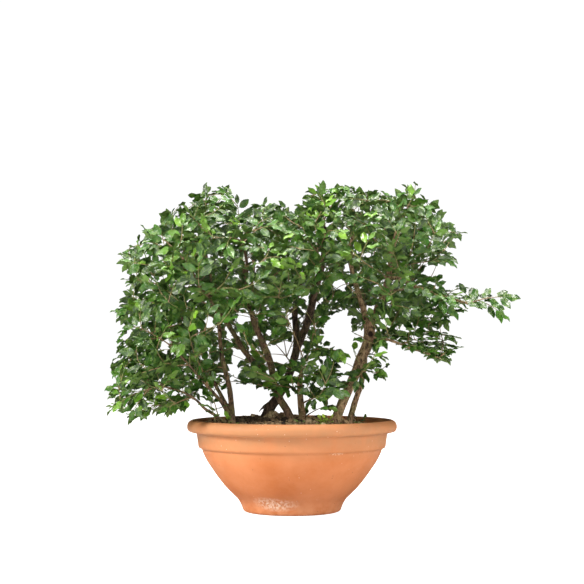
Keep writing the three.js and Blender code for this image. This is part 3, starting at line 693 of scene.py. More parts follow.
class Crown:
    """The leafy shoots of the whole clump. Each has an owner, the limb or branch that it belongs to."""

    def __init__(self, leaf_gap, spacing, leaf_length, seed):
        self.leaf_gap = leaf_gap
        self.spacing = spacing
        self.leaf_length = leaf_length
        self.chance = np.random.default_rng(seed)
        self.limbs = {name: through(route) for name, (tree, radii, route) in LIMBS.items()}
        self.branches = {name: through(route) for name, (route, sprays) in BRANCHES.items()}
        self.shoots = []
        self.leaves = []
        clear = []
        for name, low, high in BARE_STRETCHES:
            limb = self.limbs[name]
            points = [limb.at(share) for share in np.arange(low, high, ROUTE_STEP / limb.length)]
            clear += [(*seen_from_front(point), point[1]) for point in points]
        self.clear = np.array(clear)
        self.leafy_places = Neighbours(cell=24)
        self.wood_places = Neighbours(cell=40)
        for name, share in BARE_SHARE.items():
            self.remember_wood(name, self.limbs[name], share)
        for name, route in self.branches.items():
            self.remember_wood(name, route, 0.15)
        for name, sprays in SPRAYS.items():
            self.grow_sprays(name, self.limbs[name], sprays, lambda share: min(share, 0.985))
        for name, (route, sprays) in BRANCHES.items():
            self.grow_sprays(name, self.branches[name], sprays, lambda share: 0.97 * share)
        for name in LEVEL_BOUGHS:
            self.dress_level_bough(name, self.limbs[name])

    def remember_wood(self, owner, route, first_share):
        """Lets later shoots start from a route, beyond its first share."""
        for share in np.arange(first_share, 1, 4 / route.length):
            self.wood_places.add(route.at(share), (owner, route.heading(share)))

    def grow_sprays(self, owner, limb, sprays, place):
        """The twigs that the CAD part has too. `place` keeps a spray's start inside its limb."""
        for share, *tips in sprays:
            first = cad_twig(limb.at(place(share)), tips[0])
            forks = [cad_twig(first.at(FORK_SHARE), tip) for tip in tips[1:]]
            for twig, radii in [(first, (1.1, 0.42)), *[(fork, (0.9, 0.4)) for fork in forks]]:
                self.add_shoot(owner, twig, radii, bare=0.08 * twig.length, trimmed=False)

    def dress_level_bough(self, owner, bough):
        """Side shoots that lie level, close together along a bough, and longer near the trunk."""
        side = 1
        for share in np.arange(0.3, 0.99, LEVEL_STEP / bough.length):
            side = -side
            swing = math.radians(self.chance.uniform(34, 62)) * side
            heading = bough.heading(share)
            across = unit(np.cross(UP, heading))
            rise = self.chance.uniform(-0.1, 0.22)
            line = heading * math.cos(swing) + across * math.sin(swing) + UP * rise
            reach = self.chance.uniform(26, 44) * (1.15 - 0.4 * share)
            start = bough.at(share)
            route = bowed(start, start + unit(line) * reach, 0.04)
            self.add_shoot(owner, route, (0.7, 0.4), bare=5)

    def add_shoot(self, owner, route, radii, bare, trimmed=True):
        """Adds a shoot with its leaves, in turn on one side and the other, and one at its tip."""
        is_level = owner in LEVEL_BOUGHS
        lean, *habit = LEVEL_HABIT if is_level else CROWN_HABIT
        normal = facing(owner, route)
        normal = unit(normal + np.cross(route.heading(0.5), normal) * self.chance.normal(0, lean))
        freshness = self.chance.choice(list(FRESHNESS), p=list(FRESHNESS.values()))
        if is_level:
            freshness = min(freshness, LEVEL_FRESHNESS)
        distance = route.length
        furthest = 0
        side = 0
        order = 0
        while distance > bare:
            leaf = self.new_leaf(route, distance / route.length, side, order, normal, habit, is_level)
            if self.has_room(leaf, trimmed):
                furthest = max(furthest, distance)
                leaf["owner"] = owner
                leaf["shape"] = int(self.chance.integers(0, len(LEAF_HABITS)))
                newness = freshness + self.chance.normal(0, 0.17) + (0.1 if order < 2 else 0)
                leaf["tint"] = float(np.clip(newness, 0, 1))
                self.leafy_places.add(leaf["place"])
                self.leaves.append(leaf)
            side = -side if side else self.chance.choice([-1, 1])
            distance -= self.leaf_gap * self.chance.uniform(0.8, 1.2) * LEAF_GAPS[min(order, 3)]
            order += 1
        if furthest > 3:
            stem = route.cut(furthest)
            self.shoots.append({"owner": owner, "route": stem, "radii": radii})
            self.remember_wood(owner, stem, 0.12)

    def new_leaf(self, route, share, side, order, normal, habit, is_level):
        """A leaf to one side of a shoot, or straight on at its tip. The last three point more forwards."""
        droop, roll, nod = habit
        along = route.heading(share)
        across = unit(np.cross(along, normal))
        swing = math.radians(self.chance.uniform(44, 66) - (12 if order < 3 else 0)) * abs(side)
        direction = along * math.cos(swing) + across * math.sin(swing) * side
        direction = unit(direction - UP * self.chance.uniform(-0.12, 0.42) * droop)
        face = normal + across * self.chance.normal(0, roll) + along * self.chance.normal(0, nod)
        face = unit(face - direction * (face @ direction))
        size = LEVEL_LEAF_SIZE if is_level else LEAF_SIZES[min(order, 3)]
        return {
            "place": route.at(share),
            "axes": (direction, np.cross(face, direction), face),
            "size": size * self.chance.uniform(0.8, 1.08),
        }

    def has_room(self, leaf, trimmed):
        """Whether a leaf leaves bare stretches and openings clear, and stays inside the crown."""
        place, direction = leaf["place"], leaf["axes"][0]
        reach = leaf["size"] * self.leaf_length
        parts = [place + direction * reach * part for part in (0.25, 0.6, 1.0)]
        across, up = np.array([seen_from_front(part) for part in parts]).T
        gaps = np.hypot(self.clear[:, 0] - across[:, None], self.clear[:, 1] - up[:, None])
        if ((gaps < CLEAR_WIDTH) & (self.clear[:, 2] > place[1])).any():
            return False
        if any(inside(opening, across, up).any() for opening in OPENINGS):
            return False
        return not trimmed or any(inside(mass["outline"], across[:2], up[:2]).all() for mass in MASSES)

    def fill(self, mass):
        """Sends shoots to places in a mass that no leaf is near to, further apart in its middle."""
        outline, tries = mass["outline"], mass["tries"]
        seen = self.chance.uniform(np.min(outline, 0), np.max(outline, 0), (tries, 2))
        deep = self.chance.uniform(-1, 1, tries)
        across, middle, half = np.transpose(mass["depths"])
        rounding = np.clip(rim_distance(outline, seen[:, 0], seen[:, 1]) / mass["rounding"], 0, 1)
        fullness = np.sqrt(1 - (1 - rounding) ** 2)
        keep = inside(outline, seen[:, 0], seen[:, 1]) & (np.abs(deep) < fullness)
        for opening in OPENINGS:
            keep &= ~inside(opening, seen[:, 0], seen[:, 1])
        depth = np.interp(seen[:, 0], across, middle) + deep * np.interp(seen[:, 0], across, half)
        for i in np.flatnonzero(keep):
            nearness = 1 + depth[i] / VIEW_DISTANCE
            height = VIEW_HEIGHT + (seen[i, 1] - VIEW_HEIGHT) * nearness
            target = np.array([seen[i, 0] * nearness, depth[i], height])
            inner = 1 - abs(deep[i]) / fullness[i]
            if next(self.leafy_places.near(target, self.spacing * (1 + 0.4 * inner)), None) is None:
                self.send_shoot(target)

    def send_shoot(self, target):
        """Grows a shoot to a place from the handiest wood: near, headed that way, and not above it."""
        best, least = None, 1e9
        for gap, start, (owner, heading) in self.wood_places.near(target, SHOOT_REACH):
            line = (target - start) / gap
            cost = gap * (1 + TURN_COST * (1 - float(line @ heading))) + FALL_COST * max(0.0, -line[2])
            if gap >= NEAREST_SHOOT and cost < least:
                best, least = (np.array(start), owner, heading, gap), cost
        if best is None:
            return
        start, owner, heading, gap = best
        sway = self.chance.normal(0, 0.05, 3) + 0.12 * heading
        climb = max((target[2] - start[2]) / gap, 0)
        route = bowed(start, target, 0.08 - 0.22 * climb + self.chance.normal(0, 0.03), sway)
        self.add_shoot(owner, route, (min(0.45 + gap / 150, 1.0), 0.36), bare=max(4.0, gap - LEAFY_LENGTH))


# Meshes.


def object_from(name, mesh):
    made = bpy.data.objects.new(name, mesh)
    bpy.context.scene.collection.objects.link(made)
    return made


def mesh_from(bm, name):
    mesh = bpy.data.meshes.new(name)
    bm.to_mesh(mesh)
    bm.free()
    return mesh


def smooth_object(name, mesh, material):
    mesh.polygons.foreach_set("use_smooth", [True] * len(mesh.polygons))
    mesh.materials.append(material)
    return object_from(name, mesh)


def baked(source, name):
    """The object with all its modifiers made real, as a plain mesh under a new name."""
    bpy.context.view_layer.update()
    depsgraph = bpy.context.evaluated_depsgraph_get()
    mesh = bpy.data.meshes.new_from_object(source.evaluated_get(depsgraph), depsgraph=depsgraph)
    mesh.name = name
    bpy.data.objects.remove(source)
    return object_from(name, mesh)


def start_tree(name, inputs):
    """A new Geometry Nodes tree with named inputs, and the sockets that carry them."""
    tree = bpy.data.node_groups.new(name, "GeometryNodeTree")
    tree.interface.new_socket("Geometry", in_out="INPUT", socket_type="NodeSocketGeometry")
    tree.interface.new_socket("Geometry", in_out="OUTPUT", socket_type="NodeSocketGeometry")
    for label, kind in inputs.items():
        tree.interface.new_socket(label, in_out="INPUT", socket_type=f"NodeSocket{kind}")
    return tree, tree.nodes.new("NodeGroupInput").outputs


def end_tree(tree, geometry, material):
    """Makes what the tree places into real faces of one material."""
    real = add_node(tree, "GeometryNodeRealizeInstances", {"Geometry": geometry})
    dressed = add_node(tree, "GeometryNodeSetMaterial", {"Geometry": real, "Material": material})
    add_node(tree, "NodeGroupOutput", {"Geometry": dressed})
    return tree


def add_tree(target, tree, values):
    """Puts a tree on an object as a modifier and sets its named inputs."""
    modifier = target.modifiers.new(tree.name, "NODES")
    modifier.node_group = tree
    for item in tree.interface.items_tree:
        if item.item_type == "SOCKET" and item.in_out == "INPUT" and item.name in values:
            modifier[item.identifier] = values[item.name]


def swept_wood_tree():
    """Sweeps a round section along each line, as thick as the line says at each point."""
    tree, given = start_tree("Swept wood", {"Sides": "Int", "Material": "Material"})
    thickness = add_node(tree, "GeometryNodeInputNamedAttribute", {"Name": "thickness"}, data_type="FLOAT")
    lines = add_node(tree, "GeometryNodeMeshToCurve", {"Mesh": given["Geometry"]})
    circle = {"Resolution": given["Sides"], "Radius": 1.0}
    section = add_node(tree, "GeometryNodeCurvePrimitiveCircle", circle)
    sweep = {"Curve": lines, "Profile Curve": section, "Scale": thickness, "Fill Caps": True}
    swept = add_node(tree, "GeometryNodeCurveToMesh", sweep)
    soft = add_node(tree, "GeometryNodeSetShadeSmooth", {"Geometry": swept, "Shade Smooth": True})
    return end_tree(tree, soft, given["Material"])


def bark_relief_tree():
    """Raises knobs and long shallow furrows on the wood, about three times as long as they are wide."""
    inputs = {"Knob size": "Float", "Relief": "Float", "Material": "Material"}
    tree, given = start_tree("Bark relief", inputs)
    place = add_node(tree, "GeometryNodeInputPosition")
    stretched = add_node(tree, "ShaderNodeVectorMath", (place, (1.0, 1.0, 0.34)), operation="MULTIPLY")
    finer = add_node(tree, "ShaderNodeMath", (1.0, given["Knob size"]), operation="DIVIDE")
    noise = {"Vector": stretched, "Scale": finer, "Detail": 4.0, "Roughness": 0.62}
    knobs = add_node(tree, "ShaderNodeTexNoise", noise)
    height = add_node(tree, "ShaderNodeMath", (knobs, 0.5), operation="SUBTRACT")
    raised = add_node(tree, "ShaderNodeMath", (height, given["Relief"]), operation="MULTIPLY")
    outwards = {0: add_node(tree, "GeometryNodeInputNormal"), "Scale": raised}
    offset = add_node(tree, "ShaderNodeVectorMath", outwards, operation="SCALE")
    moved = add_node(tree, "GeometryNodeSetPosition", {"Geometry": given["Geometry"], "Offset": offset})
    return end_tree(tree, moved, given["Material"])


def place_shapes(tree, points, collection, settings):
    """Sets a shape from a collection on each point."""
    picks = {"Collection": collection, "Separate Children": True, "Reset Children": True}
    shapes = add_node(tree, "GeometryNodeCollectionInfo", picks)
    inputs = {"Points": points, "Instance": shapes, "Pick Instance": True, **settings}
    return add_node(tree, "GeometryNodeInstanceOnPoints", inputs)


def leaves_tree():
    """Sets a leaf on each point, turned, sized and tinted as the point says."""
    inputs = {"Leaf shapes": "Collection", "Size": "Float", "Material": "Material"}
    tree, given = start_tree("Leaves on shoots", inputs)
    told = {
        name: add_node(tree, "GeometryNodeInputNamedAttribute", {"Name": name}, data_type=kind)
        for name, kind in (("size", "FLOAT"), ("shape", "INT"), ("turn", "QUATERNION"))
    }
    size = add_node(tree, "ShaderNodeMath", (told["size"], given["Size"]), operation="MULTIPLY")
    settings = {"Instance Index": told["shape"], "Rotation": told["turn"], "Scale": size}
    leaves = place_shapes(tree, given["Geometry"], given["Leaf shapes"], settings)
    return end_tree(tree, leaves, given["Material"])


def crumbs_tree():
    """Scatters crumbs over a surface, each turned, sized and tinted by chance, with few large ones."""
    inputs = {"Crumb shapes": "Collection", "Size": "Float", "Density": "Float", "Seed": "Int"}
    tree, given = start_tree("Scattered crumbs", {**inputs, "Material": "Material"})
    scatter = {"Mesh": given["Geometry"], "Density": given["Density"], "Seed": given["Seed"]}
    spots = add_node(tree, "GeometryNodeDistributePointsOnFaces", scatter)
    whole_turns = {"Max": (math.tau,) * 3, "Seed": 3}
    turn = add_node(tree, "FunctionNodeRandomValue", whole_turns, data_type="FLOAT_VECTOR")
    chance = add_node(tree, "FunctionNodeRandomValue", {"Seed": 5}, data_type="FLOAT")
    spread = add_node(tree, "ShaderNodeMath", (chance, 3.0), operation="POWER")
    grown = add_node(tree, "ShaderNodeMath", (spread, 1.9, 0.55), operation="MULTIPLY_ADD")
    size = add_node(tree, "ShaderNodeMath", (grown, given["Size"]), operation="MULTIPLY")
    crumbs = place_shapes(tree, spots, given["Crumb shapes"], {"Rotation": turn, "Scale": size})
    tint = add_node(tree, "FunctionNodeRandomValue", {"Seed": 8}, data_type="FLOAT")
    told = {"Geometry": crumbs, "Name": "tint", "Value": tint}
    tinted = add_node(
        tree, "GeometryNodeStoreNamedAttribute", told, data_type="FLOAT", domain="INSTANCE"
    )
    return end_tree(tree, tinted, given["Material"])


def lines_object(name, lines):
    """Lines, each given as points in millimetres and the radius at each, as a mesh of edges."""
    mesh = bpy.data.meshes.new(name)
    points = np.concatenate([points for points, radii in lines]) * MM
    edges, first = [], 0
    for line, radii in lines:
        edges += [(first + i, first + i + 1) for i in range(len(line) - 1)]
        first += len(line)
    mesh.from_pydata(points.tolist(), edges, [])
    thickness = mesh.attributes.new("thickness", "FLOAT", "POINT")
    thickness.data.foreach_set("value", np.concatenate([radii for line, radii in lines]) * MM)
    return object_from(name, mesh)


def tapered(route, radii):
    """A route's points, with the radius at each going evenly through the given values."""
    shares = route.places / route.length
    return route.points, np.interp(shares, np.linspace(0, 1, len(radii)), radii)


# One edge of an elm leaf from stalk to tip: share of its length, then of its half width at each tooth.
LEAF_EDGE = [(0.12, 0.05), (0.2, 0.5), (0.33, 0.84), (0.49, 1.0), (0.64, 0.93), (0.78, 0.7), (0.9, 0.36)]

# How far a leaf's rib stands out above and below, and where along its edge the teeth begin.
RIB_HEIGHTS = (0.25, -0.4)
FIRST_TOOTH = 2


def leaf_mesh(name, length, width, fold, droop, wave, bend):
    """A thin closed leaf along X that faces up: a stalk, a saw-toothed blade and a rib."""
    bm = bmesh.new()
    uv_layer = bm.loops.layers.uv.new("UVMap")
    underside = bm.faces.layers.float.new("underside")
    half = width / 2

    def point(share, reach, lift=0.0):
        ripple = wave * math.sin(share * 9 + bend * 5) * abs(reach) * length
        z = -droop * length * share**2 + fold * abs(reach) * half + ripple * 0.12 + lift
        return bm.verts.new((share * length, reach * half + bend * length * share**2, z))

    ribs = [0.0, *[share for share, reach in LEAF_EDGE]]
    spines = [[point(share, 0, height * MM) for share in ribs] for height in RIB_HEIGHTS]
    tip = point(1.0, 0.0)
    edges = {}
    for side in (1, -1):
        rim = [point(0.0, side * 0.06)]
        for i, (share, reach) in enumerate(LEAF_EDGE):
            rim.append(point(share, side * reach))
            if 0 < i < len(LEAF_EDGE) - 1:
                after = LEAF_EDGE[i + 1]
                notch = share + 0.3 * (after[0] - share)
                rim.append(point(notch, side * (0.72 * reach + 0.28 * after[1]) * 0.9))
        edges[side] = rim
        for is_under, spine in enumerate(spines):
            place = 0
            for i in range(len(spine)):
                taken = 1 if i < FIRST_TOOTH else 2
                ring = [spine[i], *rim[place : place + taken + 1], *(spine[i + 1 : i + 2] or [tip])]
                place += taken
                if (side > 0) != bool(is_under):
                    ring.reverse()
                bm.faces.new(ring)[underside] = float(is_under)
    bm.faces.new([spines[0][0], edges[1][0], spines[1][0], edges[-1][0]])
    bm.normal_update()
    for face in bm.faces:
        face.smooth = True
        for loop in face.loops:
            flat = loop.vert.co
            across = (flat.y - bend * length * (flat.x / length) ** 2) / width
            loop[uv_layer].uv = (flat.x / length, 0.5 + across)
    for edge in bm.edges:
        if len({round(face[underside]) for face in edge.link_faces}) == 2:
            edge.smooth = False
    return mesh_from(bm, name)


def crumb_mesh(name, detail, seed):
    """A rough lump one unit across."""
    bm = bmesh.new()
    bmesh.ops.create_icosphere(bm, subdivisions=detail, radius=0.5)
    chance = np.random.default_rng(seed)
    stretch = chance.uniform(0.6, 1.25, 3)
    for vertex in bm.verts:
        vertex.co = Vector(np.array(vertex.co) * stretch * chance.uniform(0.78, 1.2))
    return mesh_from(bm, name)


def shape_collection(name, meshes):
    """Shapes that a tree picks from, kept out of the scene."""
    collection = bpy.data.collections.new(name)
    for mesh in meshes:
        collection.objects.link(bpy.data.objects.new(mesh.name, mesh))
    return collection


def leaf_points(name, leaves):
    """A mesh of points that say where, how turned and how big each leaf is."""
    mesh = bpy.data.meshes.new(name)
    mesh.from_pydata([tuple(leaf["place"] * MM) for leaf in leaves], [], [])
    turns = []
    for leaf in leaves:
        turns += Matrix(leaf["axes"]).transposed().to_quaternion()[:]
    for label, kind, values in (
        ("turn", "QUATERNION", turns),
        ("size", "FLOAT", [leaf["size"] for leaf in leaves]),
        ("shape", "INT", [leaf["shape"] for leaf in leaves]),
        ("tint", "FLOAT", [leaf["tint"] for leaf in leaves]),
    ):
        mesh.attributes.new(label, kind, "POINT").data.foreach_set("value", values)
    return object_from(name, mesh)


# Materials. Their patterns are sized in millimetres of the real surface.


def start_material(name):
    """A new material, its node tree, and the surface's own coordinates."""
    material = bpy.data.materials.new(name)
    material.use_nodes = True
    tree = material.node_tree
    return material, tree, add_node(tree, "ShaderNodeTexCoord").outputs["Object"]


def end_material(material, colour, roughness, height, depth, others=()):
    """Sets the material's shader, with a bump as deep as `depth`."""
    tree = material.node_tree
    bump = add_node(tree, "ShaderNodeBump", {"Height": height, "Distance": depth * MM})
    values = {"Base Color": colour, "Roughness": roughness, "Normal": bump, **dict(others)}
    set_inputs(tree, tree.nodes["Principled BSDF"], values)
    return material


def lumps(tree, place, size, span, reach=(0.0, 1.0), detail=3.0, roughness=0.55, within=1.0):
    """A share that comes and goes in soft lumps about `size` across, kept to where `within` is."""
    noise = {"Vector": place, "Scale": 1 / (size * MM), "Detail": detail, "Roughness": roughness}
    cloud = add_node(tree, "ShaderNodeTexNoise", noise)
    share = add_node(tree, "ShaderNodeMapRange", (cloud, *span, *reach))
    return add_node(tree, "ShaderNodeMath", (share, within), operation="MULTIPLY")


def spot(tree, place, middle, stretch, near, far):
    """A share that is 1 up to `near` from a place and 0 beyond `far`, with a stretch for each axis."""
    middle = tuple(value * MM for value in middle)
    off = add_node(tree, "ShaderNodeVectorMath", (place, middle), operation="SUBTRACT")
    off = add_node(tree, "ShaderNodeVectorMath", (off, stretch), operation="MULTIPLY")
    gap = add_node(tree, "ShaderNodeVectorMath", [off], operation="LENGTH").outputs["Value"]
    return add_node(tree, "ShaderNodeMapRange", (gap, near * MM, far * MM, 1.0, 0.0))


def specks(tree, place, gap, size, strength):
    """A share that is on in small round specks, about `gap` apart."""
    cells = add_node(tree, "ShaderNodeTexVoronoi", {"Vector": place, "Scale": 1 / (gap * MM)})
    return add_node(tree, "ShaderNodeMapRange", (cells, 0.5 * size / gap, size / gap, strength, 0.0))


def coats(tree, colour, *layers):
    """A colour with others laid over it in turn, each by its share."""
    for share, over in layers:
        colour = add_node(tree, "ShaderNodeMix", {0: share, 6: colour, 7: over}, data_type="RGBA")
    return colour


def terracotta_material(bowl):
    """Red earthenware, pressed in a mould and fired unglazed: matt, with blotches, pinholes darkened with
    painted shade, and lime.
    """
    material, tree, place = start_material("Pressed unglazed terracotta")
    height = add_node(tree, "ShaderNodeSeparateXYZ", [place]).outputs["Z"]
    upper = add_node(tree, "ShaderNodeMapRange", (height, 76 * MM, 104 * MM, 0.0, 1.0))
    low = add_node(tree, "ShaderNodeMapRange", (height, 6 * MM, 34 * MM, 0.9, 0.0))
    above = add_node(tree, "ShaderNodeMath", (height, 113.2 * MM), operation="GREATER_THAN")
    # Painted shade with a soil stain: the inside wall of the rim, above the soil, is darkened.
    inner = spot(tree, place, (0.0, 0.0, 116), (1.0, 1.0, 0.0), 135, 137)
    inner = add_node(tree, "ShaderNodeMath", (inner, above), operation="MULTIPLY")
    # Lime has wept out low on the front of the foot, and dried in small flecks elsewhere.
    weep = spot(tree, place, (-27, -72, 17), (0.32, 0.6, 1.1), 4, 13)
    bloom = lumps(tree, place, 3.2, (0.42, 0.6), (0.0, 0.8), 4.0, 0.7, within=weep)
    band = spot(tree, place, (61, -118, 89), (0.12, 0.1, 1.0), 0.6, 1.8)
    drips = lumps(tree, place, 1.8, (0.5, 0.6), (0.0, 0.8), 4.0, 0.7, within=band)
    flecks = lumps(tree, place, 34, (0.52, 0.6), within=specks(tree, place, 6, 0.65, 0.7))
    # Pinholes are a little larger than real ones so that they show, and their bottoms are painted dark as
    # shade.
    pits = specks(tree, place, 11, 0.9, 0.6)
    colour = coats(
        tree,
        bowl.deep_clay,
        (lumps(tree, place, 62, (0.38, 0.64), detail=4.0), bowl.clay),
        (lumps(tree, place, 24, (0.3, 0.6), (0.55, 1.0), 5.0, 0.62, within=upper), bowl.worn_clay),
        (lumps(tree, place, 13, (0.38, 0.62), (0.2, 1.0), 4.0, within=low), bowl.pale_clay),
        (bloom, bowl.lime),
        (drips, bowl.lime),
        (flecks, bowl.lime),
        (pits, bowl.pinhole_shade),
        (lumps(tree, place, 9, (0.3, 0.6), (0.2, 0.6), within=inner), bowl.stain_and_shade),
    )
    grain = lumps(tree, place, 1.4, (0.0, 1.0), detail=4.0, roughness=0.7)
    sunk = add_node(tree, "ShaderNodeMath", (pits, -3.0, grain), operation="MULTIPLY_ADD")
    matt = lumps(tree, place, 8, (0.3, 0.7), (0.56, 0.74))
    return end_material(material, colour, matt, sunk, 0.12, {"IOR": 1.5, "Specular IOR Level": 0.45})


def soil_material(soil):
    """Damp peat potting mix: nearly black, with a dull, broken surface."""
    material, tree, place = start_material("Peat potting mix")
    drier = lumps(tree, place, 5, (0.4, 0.68), detail=5.0, roughness=0.7)
    clods = lumps(tree, place, 2, (0.0, 1.0), detail=5.0, roughness=0.75)
    return end_material(material, coats(tree, soil.dark, (drier, soil.brown)), 0.95, clods, 1.2)


def crumb_material(soil):
    """Crumbs of peat with scraps of bark: each crumb has a tone of its own."""
    material, tree, place = start_material("Peat crumbs and bark scraps")
    tint = add_node(tree, "ShaderNodeAttribute", attribute_name="tint").outputs["Fac"]
    drier = add_node(tree, "ShaderNodeMapRange", (tint, 0.1, 0.8))
    scraps = add_node(tree, "ShaderNodeMapRange", (tint, 0.86, 0.92))
    # Painted shade with damp soil: the crumbs are darker in a patch between the left stems, under the
    # crown.
    damp_and_shade = spot(tree, place, (-66, -6, 126), (1.0, 0.5, 0.5), 24, 46)
    damp_and_shade = add_node(tree, "ShaderNodeMath", (damp_and_shade, 0.75), operation="MULTIPLY")
    colour = coats(
        tree,
        soil.dark,
        (drier, soil.brown),
        (scraps, soil.tan),
        (lumps(tree, place, 1.6, (0.35, 0.7), (0.0, 0.4), 4.0), soil.dark),
        (damp_and_shade, soil.dark),
    )
    pores = lumps(tree, place, 0.9, (0.0, 1.0), detail=4.0, roughness=0.7)
    return end_material(material, colour, 0.9, pores, 0.5)


def moss_material(soil):
    """Short cushion moss: dull, soft green with darker hollows."""
    material, tree, place = start_material("Cushion moss")
    tint = add_node(tree, "ShaderNodeAttribute", attribute_name="tint").outputs["Fac"]
    colour = coats(tree, shade(soil.moss, 0.35), (tint, soil.moss))
    fronds = lumps(tree, place, 0.8, (0.0, 1.0))
    return end_material(material, colour, 0.95, fronds, 0.6, {"Sheen Weight": 0.3})


def bark_material(name, pale, deep, algae, shaded_hollow=(0.0, 0.0, 0.0)):
    """Elm bark on young stems: dull, with fine furrows, pale flakes, a green film and an old wound whose
    hollow is painted shade.
    """
    material, tree, place = start_material(name)
    tall = add_node(tree, "ShaderNodeMapping", {"Vector": place, "Scale": (1.0, 1.0, 0.3)})
    wide = add_node(tree, "ShaderNodeMapping", {"Vector": place, "Scale": (0.5, 0.5, 2.2)})
    flakes = lumps(tree, wide, 2.6, (0.58, 0.68), (0.0, 0.65), roughness=0.6)
    furrows = lumps(tree, tall, 2.4, (0.0, 1.0), detail=5.0, roughness=0.7)
    raised = add_node(tree, "ShaderNodeMath", (flakes, 0.6, furrows), operation="MULTIPLY_ADD")
    colour = coats(
        tree,
        deep,
        (lumps(tree, tall, 6.5, (0.42, 0.56), detail=5.0, roughness=0.68), pale),
        (lumps(tree, place, 17, (0.46, 0.62), (0.0, 0.65)), algae),
        (flakes, tuple(min(1, 1.8 * c + 0.05) for c in pale)),
        (lumps(tree, tall, 2.6, (0.4, 0.5), (0.9, 0.0), 4.0, 0.7), shade(deep, 0.2)),
        # Painted shade: the middle of the old wound is darkened in place of a hollow.
        (spot(tree, place, shaded_hollow, (1.0, 0.8, 1.0), 2.6, 6.2), linear("#2a1b14")),
    )
    return end_material(material, colour, 0.86, raised, 0.6, {"Specular IOR Level": 0.35})


def shoot_material(wood):
    """Young elm twigs: green at the tip, then smooth and tan, and grey-brown where they are thicker."""
    material, tree, place = start_material("Young elm twigs")
    thickness = add_node(tree, "ShaderNodeAttribute", attribute_name="thickness").outputs["Fac"]
    ripe = add_node(tree, "ShaderNodeMapRange", (thickness, 0.38 * MM, 0.62 * MM))
    old = add_node(tree, "ShaderNodeMapRange", (thickness, 0.9 * MM, 2.2 * MM))
    scars = lumps(tree, place, 3.4, (0.4, 0.62), (0.0, 0.7), 4.0)
    layers = (ripe, wood.twig), (old, wood.brown_bark), (scars, shade(wood.twig, 0.3))
    buds = lumps(tree, place, 1.2, (0.0, 1.0))
    return end_material(material, coats(tree, wood.shoot, *layers), 0.6, buds, 0.25)


def leaf_material(name, mature, middle, fresh, under):
    """Elm leaf: a waxy upper side with sunken side veins and a pale rib, and a dull, paler under side."""
    material, tree, place = start_material(name)
    tint = add_node(tree, "ShaderNodeAttribute", attribute_name="tint").outputs["Fac"]
    below = add_node(tree, "ShaderNodeAttribute", attribute_name="underside").outputs["Fac"]
    flat = add_node(tree, "ShaderNodeSeparateXYZ", [add_node(tree, "ShaderNodeUVMap", uv_map="UVMap")])
    off_rib = add_node(tree, "ShaderNodeMath", (flat.outputs["Y"], 0.5), operation="SUBTRACT")
    off_rib = add_node(tree, "ShaderNodeMath", [off_rib], operation="ABSOLUTE")
    # Side veins run out and forwards from the rib, eight along the blade.
    slant = add_node(tree, "ShaderNodeMath", (off_rib, -6.0), operation="MULTIPLY")
    phase = add_node(tree, "ShaderNodeMath", (flat.outputs["X"], 8.0, slant), operation="MULTIPLY_ADD")
    phase = add_node(tree, "ShaderNodeMath", [phase], operation="FRACT")
    ridge = add_node(tree, "ShaderNodeMath", (phase, 0.5), operation="PINGPONG")
    veins = add_node(tree, "ShaderNodeMapRange", (ridge, 0.03, 0.1, 0.22, 0.0))
    rib = add_node(tree, "ShaderNodeMapRange", (off_rib, 0.02, 0.045, 0.6, 0.0))
    newer = add_node(tree, "ShaderNodeMapRange", (tint, 0.0, 0.5))
    newest = add_node(tree, "ShaderNodeMapRange", (tint, 0.55, 1.0))
    colour = coats(
        tree,
        mature,
        (newer, middle),
        (newest, fresh),
        (lumps(tree, place, 11, (0.35, 0.65), (0.0, 0.3), 2.0), mature),
        (veins, under),
        (rib, under),
        (add_node(tree, "ShaderNodeMath", (below, 0.8), operation="MULTIPLY"), under),
    )
    waxy = lumps(tree, place, 7, (0.3, 0.7), (0.29, 0.42), 2.0)
    matt = add_node(tree, "ShaderNodeMath", (below, 0.68), operation="MULTIPLY")
    gloss = add_node(tree, "ShaderNodeMath", (waxy, matt), operation="MAXIMUM")
    end_material(material, colour, gloss, ridge, 0.5, {"IOR": 1.5, "Specular IOR Level": 0.68})
    # Light comes through the blade, and greener than it went in.
    glow = add_node(tree, "ShaderNodeBsdfTranslucent", {"Color": coats(tree, colour, (0.5, fresh))})
    mix = add_node(tree, "ShaderNodeMixShader", (0.09, tree.nodes["Principled BSDF"], glow))
    set_inputs(tree, tree.nodes["Material Output"], {"Surface": mix})
    return material


def paper_material(stage):
    """Seamless studio paper, lit so strongly that the camera sees it as plain white."""
    material = bpy.data.materials.new("Studio paper")
    material.use_nodes = True
    tree = material.node_tree
    paper = {
        "Base Color": stage.floor,
        "Roughness": 0.95,
        "Specular IOR Level": 0.1,
        "Emission Color": (1.0, 1.0, 1.0),
        "Emission Strength": add_node(tree, "ShaderNodeLightPath").outputs["Is Camera Ray"],
    }
    set_inputs(tree, tree.nodes["Principled BSDF"], paper)
    return material


# Pieces.

